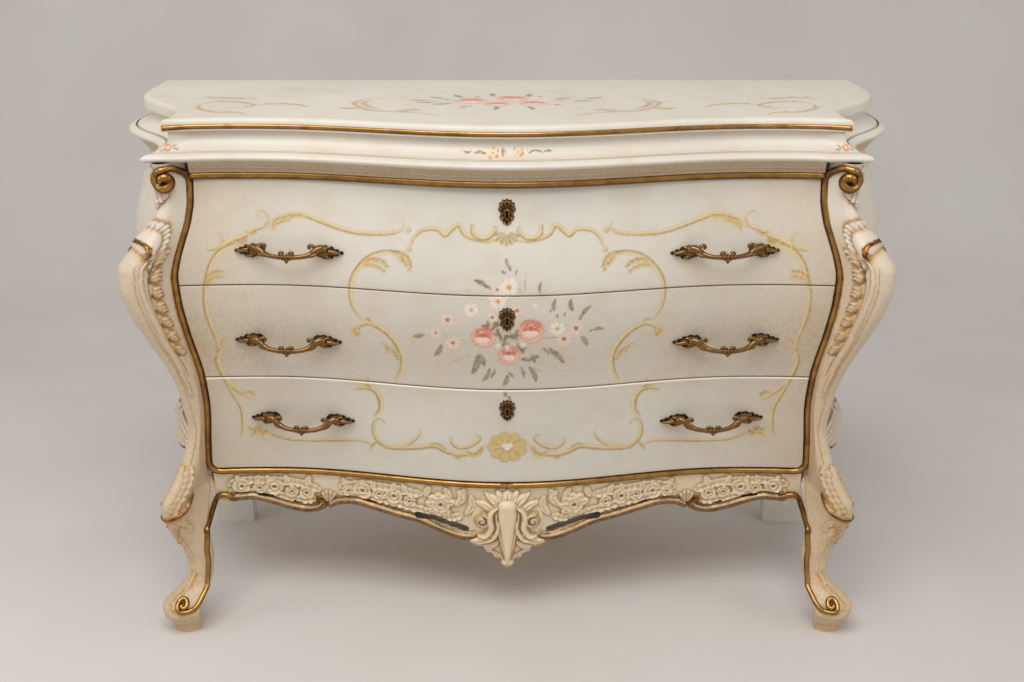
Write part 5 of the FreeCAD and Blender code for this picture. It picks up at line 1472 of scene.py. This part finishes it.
def carveApron():
    sheet = newSheet(-540, 540, 80, 262, 1.0)
    for way in (1, -1):
        def side(points):
            return sided(way, points)

        # Leaves that reach up between the whorls to the bead.
        for x, lean in ((478, 8), (452, -6), (424, 8), (392, 7), (362, -8), (286, 8), (262, -6),
                        (236, 7), (206, -7), (178, 8), (146, -9), (100, 10), (84, -9)):
            raiseLeaf(sheet, side([(x, 228), (x + lean * 0.5, 240), (x + lean, 251)]), 6.5, 5.0, 3)
        # Ragged shell borders above and below.
        raiseRuffle(sheet, side([(498, 232), (470, 240), (436, 240), (400, 238), (366, 232),
                                 (342, 222)]), 9, 5.6, 15)
        raiseRuffle(sheet, side([(496, 216), (470, 213), (436, 212), (404, 205), (374, 198),
                                 (352, 200)]), 9, 6.2, 14)
        raiseRuffle(sheet, side([(296, 232), (262, 241), (226, 240), (190, 237), (156, 232)]),
                    9, 5.6, 13)
        raiseRuffle(sheet, side([(296, 216), (262, 215), (226, 213), (192, 207), (160, 200),
                                 (136, 196)]), 9, 6.2, 13)
        # Whorls with drilled eyes.
        for k, (x, z, size) in enumerate(((478, 228, 16), (446, 224, 12), (419, 226, 17),
                                          (389, 216, 12), (362, 214, 14), (285, 225, 11),
                                          (259, 228, 17), (229, 224, 12), (202, 223, 16),
                                          (174, 215, 12))):
            raiseWhorl(sheet, way * x, z, size, 7.2, 3 + k % 2, 40.0 * k)
        # The largest flower, and the leaves round it.
        for turn in range(20, 340, 40):
            a = math.radians(turn)
            raiseLeaf(sheet, [(way * 118 + 8 * math.cos(a), 214 + 8 * math.sin(a)),
                              (way * 118 + 25 * math.cos(a), 214 + 23 * math.sin(a))], 9, 6.4, 3)
        raiseWhorl(sheet, way * 118, 214, 16, 8.2, 6, 15.0)
        raiseRuffle(sheet, side([(150, 196), (130, 190), (104, 186), (84, 192)]), 8, 6.0, 8)
        raiseLeaf(sheet, side([(92, 214), (80, 230), (86, 246)]), 8, 5.6, 4)
        raiseLeaf(sheet, side([(74, 196), (62, 214), (64, 236)]), 8, 4.6, 4)
        # Gilded scrolls of the lower edge, each with a quirk along it.
        for points in ([(496, 204), (480, 205), (459, 206), (428, 197), (395, 185), (366, 179),
                        (344, 183), (332, 193)],
                       [(318, 192), (302, 201), (272, 203), (241, 196), (192, 184), (156, 177),
                        (112, 159), (84, 150), (58, 150)]):
            clearBand(sheet, side(points), 10.0)
            raiseLine(sheet, side(points), 8.6, 7.9, 0.9)
            line = flow(side(points), 1.0)
            raiseLine(sheet, shifted(line, way * 3.2)[::8], 2.4, 8.6, 0.3)
            carveLine(sheet, shifted(line, way * 0.2)[::8], 1.6, 3.4, "even")
        raiseScroll(sheet, way * 494, 206, 9, 1.3, 0, way, 3.2, 7.8, 1.0)
        raiseScroll(sheet, way * 338, 200, 11, 1.4, 250, -way, 3.4, 7.8, 1.0)
        raiseShell(sheet, way * 322, 194, 24, 62, 118, 4, 6.6, 0.25)
    goldenGroundAndLight(sheet)
    return sheet


def goldenGroundAndLight(sheet):
    # Thin gold size under the glaze, which leaves the carving warmer than the boards around it, and
    # lighter as painted light against the shade it stands in under the drawers.
    antiqued(sheet, 0.0, 0.95, 0.5)
    wash(sheet, 0.42 * (1 - 0.5 * sheet["cover"]), apron["goldSizeAndLight"])


def makeApron():
    sheet = carveApron()
    a = apron
    x = np.linspace(-a["halfWidth"], a["halfWidth"], a["columns"])
    low = smooth(apronEdge, np.abs(x))
    low = np.where(np.abs(x) > 507, 186 + (np.abs(x) - 507) * 1.1, low)
    share = np.linspace(0, 1, a["rows"])
    z = low[None, :] + share[:, None] * (a["top"] - low)[None, :]
    xx = x[None, :] * np.ones(a["rows"])[:, None]
    height = sample(sheet, "height", xx, z)
    y = frontY(xx, z) + a["setBack"] - np.clip(height, -3.0, 7.9)
    middleX, middleZ = np.abs(xx[:-1, :-1] + xx[1:, 1:]) / 2, (z[:-1, :-1] + z[1:, 1:]) / 2
    pierced = np.zeros(middleX.shape, bool)
    for run, width in (([(160, 189), (130, 184), (100, 174), (74, 165)], 6.0),
                       ([(448, 211), (424, 206)], 2.2), ([(386, 195), (372, 191)], 2.2),
                       ([(252, 209), (236, 206)], 2.0), ([(204, 200), (190, 196)], 2.4)):
        for px, pz in flow(run, 2.0):
            pierced |= (middleX - px) ** 2 + (middleZ - pz) ** 2 < width ** 2
    face = grid(np.stack([xx, y, z], -1), sheet, xx, z, keep=~pierced)
    rearY = frontY(xx, z) + a["setBack"] + a["thickness"]
    rear = grid(np.stack([xx, rearY, z], -1), flip=True, keep=~pierced)
    lower = np.stack([np.stack([x, rearY[0], low], -1), np.stack([x, y[0], low], -1)])
    upper = np.stack([np.stack([x, y[-1], z[-1]], -1), np.stack([x, rearY[-1], z[-1]], -1)])
    addPiece("carved_apron", [face, rear, grid(lower), grid(upper)], paintMaterial,
             nodes=("front_apron", "apron_edge_scrolls", "apron_carvings"))


# Carved piece in the middle of the apron, for one half. Leaves: path, width, height and veins.
# Scrolls: path, width and height.
cartouche = {
    "outline": [(0, 253), (9, 247), (18, 252), (27, 243), (40, 248), (43, 235), (55, 227), (56, 213),
                (63, 196), (61, 176), (56, 160), (68, 143), (57, 132), (44, 131), (38, 120),
                (28, 117), (23, 108), (13, 106), (11, 95)],
    "foot": 88, "centre": (0.0, 168.0), "rise": 22.5, "dome": 6.0, "thickness": 14.0,
    "leaves": [([(4, 200), (18, 226), (38, 248)], 9, 7.0, 4),
               ([(10, 196), (34, 218), (56, 228)], 8, 6.0, 4),
               ([(3, 206), (9, 230), (17, 252)], 8, 8.0, 4),
               ([(24, 162), (44, 146), (67, 142)], 9, 7.5, 4),
               ([(16, 146), (30, 134), (52, 131)], 7, 6.0, 3)],
    "ruffle": [(36, 122), (26, 114), (14, 108)],
    "scrolls": [([(17, 219), (27, 210), (31, 194), (29, 174), (38, 158), (52, 156)], 6.4, 12.5),
                ([(15, 190), (17, 172), (26, 152), (40, 144)], 4.6, 10.0)],
    "edge": [(20, 214), (19, 190), (12, 150), (7, 118)],
}


def carveCartouche():
    sheet = newSheet(-70, 70, 84, 258, 1.0)
    c = cartouche
    for way in (1, -1):
        for points, width, height, veins in c["leaves"]:
            raiseLeaf(sheet, sided(way, points), width, height, veins)
        raiseRuffle(sheet, sided(way, c["ruffle"]), 9, 6.0, 4)
        # C scrolls on each side of the middle leaf, with a volute.
        raiseScroll(sheet, way * 45, 188, 14, 1.4, 75, way, 4.6, 10.0, 0.35)
        for points, width, height in c["scrolls"]:
            raiseLine(sheet, sided(way, points), width, height, 0.0, "both")
    # Middle leaf, smooth and full, over a ball at the foot.
    raiseLine(sheet, [(0, 220), (0, 180), (0, 140), (0, 96)], 19, 15.5, 0.0, "end", 0.6)
    raiseLine(sheet, [(0, 219), (0, 221)], 18, 16.5, 0.0, "even", 0.55)
    raiseLeaf(sheet, [(0, 222), (0, 238), (0, 253)], 9, 12.0, 4)
    for way in (1, -1):
        raiseLine(sheet, sided(way, c["edge"]), 2.6, 9.0, 0.0, "both")
    raiseLine(sheet, [(-0.5, 98), (0.5, 98)], 11, 14.5, 0.0)
    carveLine(sheet, [(-0.8, 97), (0, 97.8), (0.8, 97)], 3.6, 7.0, "even")
    goldenGroundAndLight(sheet)
    return sheet


def makeCartouche():
    sheet = carveCartouche()
    c = cartouche

    def relief(out, angle, px, pz):
        lift = sample(sheet, "height", px, pz)
        dome = c["dome"] * (1 - out ** 2.5)
        return np.clip(3.0 + dome + lift * (1 - out ** 14), 0, c["rise"])

    def at(px, pz, lift):
        return px, frontY(px, pz) + apron["setBack"] - 1.0 - lift, pz

    outline = c["outline"] + [(0, c["foot"])] + sided(-1, c["outline"][:0:-1])
    points, px, pz, lift = plaque(outline, c["centre"], relief, at, 60, 260)
    rear = points[-1:] + np.array([0.0, c["thickness"], 0.0])
    hub = rear * 0 + rear.mean(1, keepdims=True)
    # The rolled edge, the rim and the rear take the colour of the outline.
    shownX, shownZ = [np.vstack([v, v[-1:], v[-1:], v[-1:]]) for v in (px, pz)]
    addPiece("shell_cartouche", [grid(np.concatenate([points, rear]), sheet, shownX, shownZ, wrap=True),
                                 grid(np.concatenate([rear, hub]), wrap=True)],
             paintMaterial, nodes=("apron_cartouche",))


makeApron()
makeCartouche()
print("apron ready")

# Side panels, and the carved shells under them.
sideWork = {"thickness": 18.0, "bottom": 335.0, "top": 812.5, "rows": 150, "columns": 110}
apronSwell = [(240, 14), (262, 28), (285, 31), (310, 20), (335, 4)]
sideDip = [(128, 266), (170, 268), (210, 256), (260, 243), (300, 243), (350, 256), (385, 268),
           (418, 266)]


def makeSides():
    s = sideWork
    sheet = newSheet(120, 430, 230, 820, 2.0)
    ys, zs = sheetAxes(sheet)
    near = np.minimum(np.minimum(ys - 128, 418 - ys)[None, :],
                      np.minimum(np.abs(zs - 335), 812 - zs)[:, None])
    wash(sheet, 0.14 + 0.4 * np.exp(-np.clip(near, 0, None) / 9.0), glaze["ochre"])
    y = np.linspace(chest["postY"] + 0.3, chest["rearPostY"], s["columns"])
    z = np.linspace(s["bottom"], s["top"], s["rows"])
    yy, zz = np.meshgrid(y, z)
    outer = grid(np.stack([sideX(yy, zz), yy, zz], -1), sheet, yy, zz)
    inner = grid(np.stack([sideX(yy, zz) - s["thickness"], yy, zz], -1)[::4, ::4], flip=True)
    foot = np.stack([[(float(sideX(v, s["bottom"])) - s["thickness"], v, s["bottom"]) for v in y],
                     [(float(sideX(v, s["bottom"])), v, s["bottom"]) for v in y]])
    addRightAndLeft("side_panel_painted", "side_panel", [outer, inner, grid(foot)])

    # Shell: ribs that fan out from the middle of the panel's lower edge.
    shell = newSheet(120, 430, 236, 340, 1.0)
    raiseShell(shell, 272, 322, 82, 200, 340, 15, 6.0)
    for way in (1, -1):
        raiseLine(shell, [(272 + way * 20, 318), (272 + way * 70, 306), (272 + way * 108, 290),
                          (272 + way * 128, 276)], 4.4, 6.0, 0.7, "both")
        raiseScroll(shell, 272 + way * 118, 300, 13, 1.3, 250, way, 3.6, 5.4, 0.4)
        raiseLeaf(shell, [(272 + way * 84, 322), (272 + way * 104, 318), (272 + way * 132, 322)], 8,
                  4.6, 4)
    raiseLine(shell, [(y0, z0 + 7) for y0, z0 in sideDip], 3.4, 4.0, 1.0)
    antiqued(shell, 0.3, 0.8)
    v = np.linspace(0, 1, 70)
    columns = np.linspace(chest["postY"] + 0.3, chest["rearPostY"], 250)
    low = smooth(sideDip, columns)
    # Scalloped lower edge.
    low = low + 1.6 * np.abs(np.sin(columns * 0.16))
    zz = low[None, :] + v[:, None] * (s["bottom"] - low)[None, :]
    yy = columns[None, :] * np.ones(len(v))[:, None]
    rise = 0.2 + 0.8 * smooth(sideWave, yy)
    base = sideX(yy, zz) + smooth(apronSwell, zz) * rise - 5.5 * rise
    lift = np.clip(sample(shell, "height", yy, zz), -2, 7) * np.clip((s["bottom"] - zz) / 5, 0, 1)
    face = grid(np.stack([base + lift, yy, zz], -1), shell, yy, zz)
    back = grid(np.stack([sideX(yy, zz) - 15.0, yy, zz], -1), flip=True)
    under = np.stack([np.stack([sideX(yy, zz)[0] - 15.0, yy[0], zz[0]], -1),
                      np.stack([(base + lift)[0], yy[0], zz[0]], -1)])
    addRightAndLeft("side_shell", "side_apron", [face, back, grid(under)])
    rim = np.array([(float(sideX(a, b + 4)) + float(smooth(apronSwell, b + 4))
                     * (0.2 + 0.8 * float(smooth(sideWave, a))) - 2.0, a, b + 3.5)
                    for a, b in flow(sideDip, 3.0)])
    top = np.array([(float(sideX(a, s["bottom"] + 5)) + 3.2, a, s["bottom"] + 5.0)
                    for a in np.linspace(chest["postY"] + 2, chest["rearPostY"] - 2, 80)])
    ripple = 3.6 + 0.9 * np.abs(np.sin(np.arange(len(rim)) * 0.55))
    patches = [tube(rim, ripple, up=(1, 0, 0)), tube(top, 3.9, up=(1, 0, 0))]
    addPiece("side_gilt_rims", bothSides(patches), giltMaterial, "chest",
             ("side_apron_rims",))


makeSides()
print("sides ready")

# Cast pulls: two leaf rosettes, a bail that hangs forward between them, and a knot in its middle.
# Each bar has rows with the distance from the middle, the height and the distance forward, and its
# radii from end to end: the hood, its ear, the leaf that falls from it along the bail, the leaf
# toward the rosette's tip with one on each side, the bail, and the leaf beside the knot.
pullShape = {
    "half": 60.0,
    "rosette": [(31, 0), (28, 3.0), (24, 2.6), (21, 6.0), (16, 5.6), (12, 10.0), (6, 9.0), (1, 12.0),
                (-6, 10.2), (-12, 11.0), (-17, 6.4), (-20, 2.0), (-19, -3.0), (-13, -8.4),
                (-6, -9.2), (0, -12.0), (6, -9.4), (11, -11.0), (15, -6.4), (20, -6.6), (24, -2.6),
                (28, -2.8)],
    "bars": [([(62, 6, 10), (56, 8, 14), (49, 6.5, 18.5), (43, 3, 22), (38, -0.5, 24)],
              [5.4, 6.2, 5.8, 5.0, 4.2]),
             ([(48, 5, 19), (44.5, 11, 21), (39.5, 14, 22), (35.6, 12, 22), (36.4, 8.6, 21.5),
               (39, 9.4, 21)], [3.8, 3.8, 3.2, 2.8, 2.3, 1.8]),
             ([(50, 1.5, 19), (44, -2, 23.5), (37, -4, 26.5), (31, -5.4, 28)], [2.0, 3.2, 2.6, 1.2]),
             ([(66, 3, 9), (72, 2, 9), (80, 0.5, 8), (86, 0, 6)], [3.6, 3.8, 2.6, 1.6]),
             ([(60, 4.5, 7), (64, 7.5, 6.5), (70, 8.25, 5)], [2.6, 2.8, 1.4]),
             ([(60, -4.5, 7), (64, -7.5, 6.5), (70, -8.25, 5)], [2.6, 2.8, 1.4]),
             ([(40, 0.5, 23), (35, -1.8, 26), (28, -3.4, 29.4), (18, -4.6, 31.8), (8, -5, 32.8),
               (0, -5, 33)], [4.6, 4.3, 3.9, 3.7, 3.9, 4.2]),
             ([(4, 1, 33.5), (8, 3.4, 34), (11.5, 1.8, 33.5), (10, -1.6, 33.5)],
              [2.6, 2.6, 2.0, 1.2])],
    "knot": [(0, 6.9), (-6.4, 6.0), (6.4, 6.0), (-12, 5.0), (12, 5.0)],
}


def makePulls(number):
    px, pz = pullRows[number]
    p = pullShape
    lean = math.atan2(float(frontY(px, pz + 10) - frontY(px, pz - 10)), 20.0)
    patches = []

    def at(dx, up, out):
        dx, up, out = np.broadcast_arrays(*[np.asarray(v, float) for v in (dx, up, out)])
        low = pz + up * math.cos(lean)
        return px + dx, frontY(px + dx, low) - out * math.cos(lean), low + out * math.sin(lean)

    def bar(rows, radius, way=1):
        line = flow([(way * dx, up, out) for dx, up, out in rows], 1.0)
        place = np.stack(at(line[:, 0], line[:, 1], line[:, 2]), -1)
        size = np.interp(np.linspace(0, 1, len(line)), np.linspace(0, 1, len(radius)), radius)
        return tube(place, size, 14)

    for way in (1, -1):
        outline = [(way * (p["half"] + a), b) for a, b in p["rosette"]]
        if way < 0:
            outline.reverse()

        def relief(out, angle, x, z):
            away = np.hypot(x - way * p["half"], z)
            boss = 7.0 * np.exp(-(away / 7.4) ** 4)
            ring = 2.6 * np.exp(-((away - 10.4) / 2.2) ** 2)
            ribs = 1.5 * np.cos(angle * 11) * np.clip(out * 1.8 - 0.5, 0, 1) * (1 - out ** 8)
            tip = 4.6 * np.exp(-((x * way - 84) / 4.0) ** 2 - (z / 3.0) ** 2)
            tip = tip + 3.4 * np.exp(-((x * way - 76) / 3.0) ** 2 - (z / 3.6) ** 2)
            return 3.4 + boss + ring + ribs + tip - 2.4 * out ** 8

        points, x, z, lift = plaque(outline, (way * p["half"], 0.0), relief, at, 34, 170)
        leaf = grid(points, wrap=True, flip=way < 0)
        leaf["gilt"] = np.clip((np.vstack([lift, lift[-1:], lift[-1:]]) - 3.0) / 6.0, 0, 1)
        patches.append(leaf)
        patches += [bar(rows, radius, way) for rows, radius in p["bars"]]
    # Knot: rings and a drop under them.
    for dx, size in p["knot"]:
        sag = -5.0 + abs(dx) * 0.03
        patches.append(bar([(dx - 2.4, sag, 33), (dx, sag, 33.0), (dx + 2.4, sag, 33)],
                           (size * 0.62, size, size * 0.62)))
    patches.append(bar([(0, -8, 34), (0, -12, 34), (0, -15.5, 33.5)], (4.8, 3.8, 0.8)))
    body = "drawer_%d" % (number + 1)
    addPiece("cast_pulls_%d" % (number + 1), bothSides(patches), brassMaterial, body,
             (body + "_pulls",))


# Keyhole plates: a pierced cartouche with a raised rim and a collar round the keyhole.
def makeEscutcheon(number):
    high = drawerRows[number][1]
    zc = high - keyhole["belowTop"]
    w, h = keyhole["width"] / 2, keyhole["height"] / 2
    right = [(0.0, 1.0), (0.2, 0.88), (0.44, 0.92), (0.6, 0.72), (0.86, 0.66), (0.84, 0.42),
             (0.98, 0.22), (0.86, 0.04), (0.7, -0.12), (0.82, -0.34), (0.7, -0.56), (0.5, -0.66),
             (0.42, -0.86), (0.18, -0.88)]
    share = right + [(0.0, -1.0)] + sided(-1, right[:0:-1])
    outline = evenly(flow([(a * w, b * h) for a, b in share] + [(0.0, h)], 0.4), 181)[:-1]
    # The hole: a round eye over a slot that widens a little.
    turn = np.linspace(math.pi / 2, -2 * math.pi + math.pi / 2, 181)[:-1]
    r = keyhole["hole"]
    holeX = np.where(np.sin(turn) > -0.75, r * np.cos(turn), np.sign(np.cos(turn)) * 1.7)
    holeZ = np.where(np.sin(turn) > -0.75, r * np.sin(turn), -11.0)
    rings, lifts = [], []
    for t in np.linspace(0, 1, 22):
        x = holeX * (1 - t) + outline[:, 0] * t
        z = holeZ * (1 - t) + outline[:, 1] * t
        angle = np.arctan2(outline[:, 1], outline[:, 0])
        lift = (1.6 + 1.1 * math.exp(-(t / 0.12) ** 2) + 1.3 * math.exp(-((t - 0.82) / 0.14) ** 2)
                + 0.55 * np.cos(angle * 14) * math.sin(math.pi * t) - 1.2 * t ** 8)
        rings.append(np.stack([x, frontY(x, zc + z) - np.minimum(lift, 2.95), zc + z], -1))
        lifts.append(np.broadcast_to(lift, x.shape))
    inner = np.stack([holeX, frontY(holeX, zc + holeZ) + 4.0, zc + holeZ], -1)
    outer = np.stack([outline[:, 0], frontY(outline[:, 0], zc + outline[:, 1]) + 0.4,
                      zc + outline[:, 1]], -1)
    points = np.stack([inner] + rings + [outer])
    plate = grid(points, wrap=True)
    wearAndHighlight = np.clip((np.array(lifts) - 1.3) / 1.5, 0, 1)
    # The hole's inner edge gets no wear, so it comes out black: painted shade inside the keyhole. The
    # outer edge keeps a third of its wear.
    plate["gilt"] = np.vstack([wearAndHighlight[:1] * 0, wearAndHighlight, wearAndHighlight[-1:] * 0.3])
    body = "drawer_%d" % (number + 1)
    addPiece("keyhole_plate_%d" % (number + 1), [plate], brassMaterial, body,
             (body + "_escutcheon",))


for number in range(3):
    makePulls(number)
    makeEscutcheon(number)
print("pulls and keyhole plates ready")

# Studio: pale floor and backdrop, a wide soft light above the front and a fill from each side.
studio = {"floor": "#d6d1cc", "key": 68.0, "fill": 15.0, "world": 0.6, "background": "#cdc6c1",
          "sky": "#e8e7e6", "lens": 47.07, "sensor": 36.0, "camera": (0.008, -2.277, 1.288),
          "pitch": 19.78}


def makeStudio():
    material, tree = newMaterial("palePlaster")
    place = node(tree, "ShaderNodeTexCoord").outputs["Object"]
    cloud = node(tree, "ShaderNodeTexNoise", {"Scale": 1.5, "Detail": 3.0}, {"Vector": place})
    colour = ramp(tree, cloud.outputs["Fac"], [(0.3, studio["floor"]), (0.7, studio["background"])])
    shader = node(tree, "ShaderNodeBsdfPrincipled", {"Roughness": 0.8}, {"Base Color": colour})
    node(tree, "ShaderNodeOutputMaterial", links={"Surface": shader.outputs["BSDF"]})
    xs = np.linspace(-5.0, 5.0, 3)
    bend = [(-4.0, 0.0), (1.6, 0.0)]
    turns = np.linspace(0, math.pi / 2, 24)
    bend += [(1.6 + 1.2 * math.sin(a), 1.2 - 1.2 * math.cos(a)) for a in turns]
    bend += [(2.8, 5.0)]
    points = np.array([[(x, y, z) for x in xs] for y, z in bend])
    mesh = bpy.data.meshes.new("floor_and_wall")
    count = len(bend)
    quads = [(r * 3 + c, r * 3 + c + 1, (r + 1) * 3 + c + 1, (r + 1) * 3 + c)
             for r in range(count - 1) for c in range(2)]
    mesh.from_pydata(points.reshape(-1, 3).tolist(), [], quads)
    mesh.shade_smooth()
    mesh.materials.append(material)
    obj = bpy.data.objects.new("floor_and_wall", mesh)
    bpy.context.scene.collection.objects.link(obj)

    lamps = (("key", (-0.4, -1.7, 3.2), 2.6, studio["key"]),
             ("fillLeft", (-3.0, -1.2, 1.6), 1.8, studio["fill"]),
             ("fillRight", (3.0, -1.6, 1.7), 1.8, studio["fill"]))
    for name, where, size, power in lamps:
        light = bpy.data.lights.new(name, "AREA")
        light.energy = power
        light.shape = "RECTANGLE"
        light.size, light.size_y = size, size * 0.7
        lamp = bpy.data.objects.new(name, light)
        lamp.location = where
        away = np.array(where) - np.array((0.0, 0.0, 0.5))
        flat = math.hypot(away[0], away[1])
        lamp.rotation_euler = (math.atan2(flat, away[2]), 0.0, math.atan2(away[0], -away[1]))
        bpy.context.scene.collection.objects.link(lamp)
    world = bpy.data.worlds.new("paleRoom")
    world.use_nodes = True
    sky = world.node_tree.nodes["Background"]
    sky.inputs["Color"].default_value = linear(studio["sky"]) + [1.0]
    sky.inputs["Strength"].default_value = studio["world"]
    bpy.context.scene.world = world

    camera = bpy.data.objects.new("camera", bpy.data.cameras.new("camera"))
    camera.data.lens = studio["lens"]
    camera.data.sensor_width = studio["sensor"]
    camera.location = studio["camera"]
    camera.rotation_euler = (math.radians(90 - studio["pitch"]), 0.0, 0.0)
    bpy.context.scene.collection.objects.link(camera)
    bpy.context.scene.camera = camera
    bpy.context.scene.view_settings.view_transform = "Standard"


makeStudio()
print("studio ready")
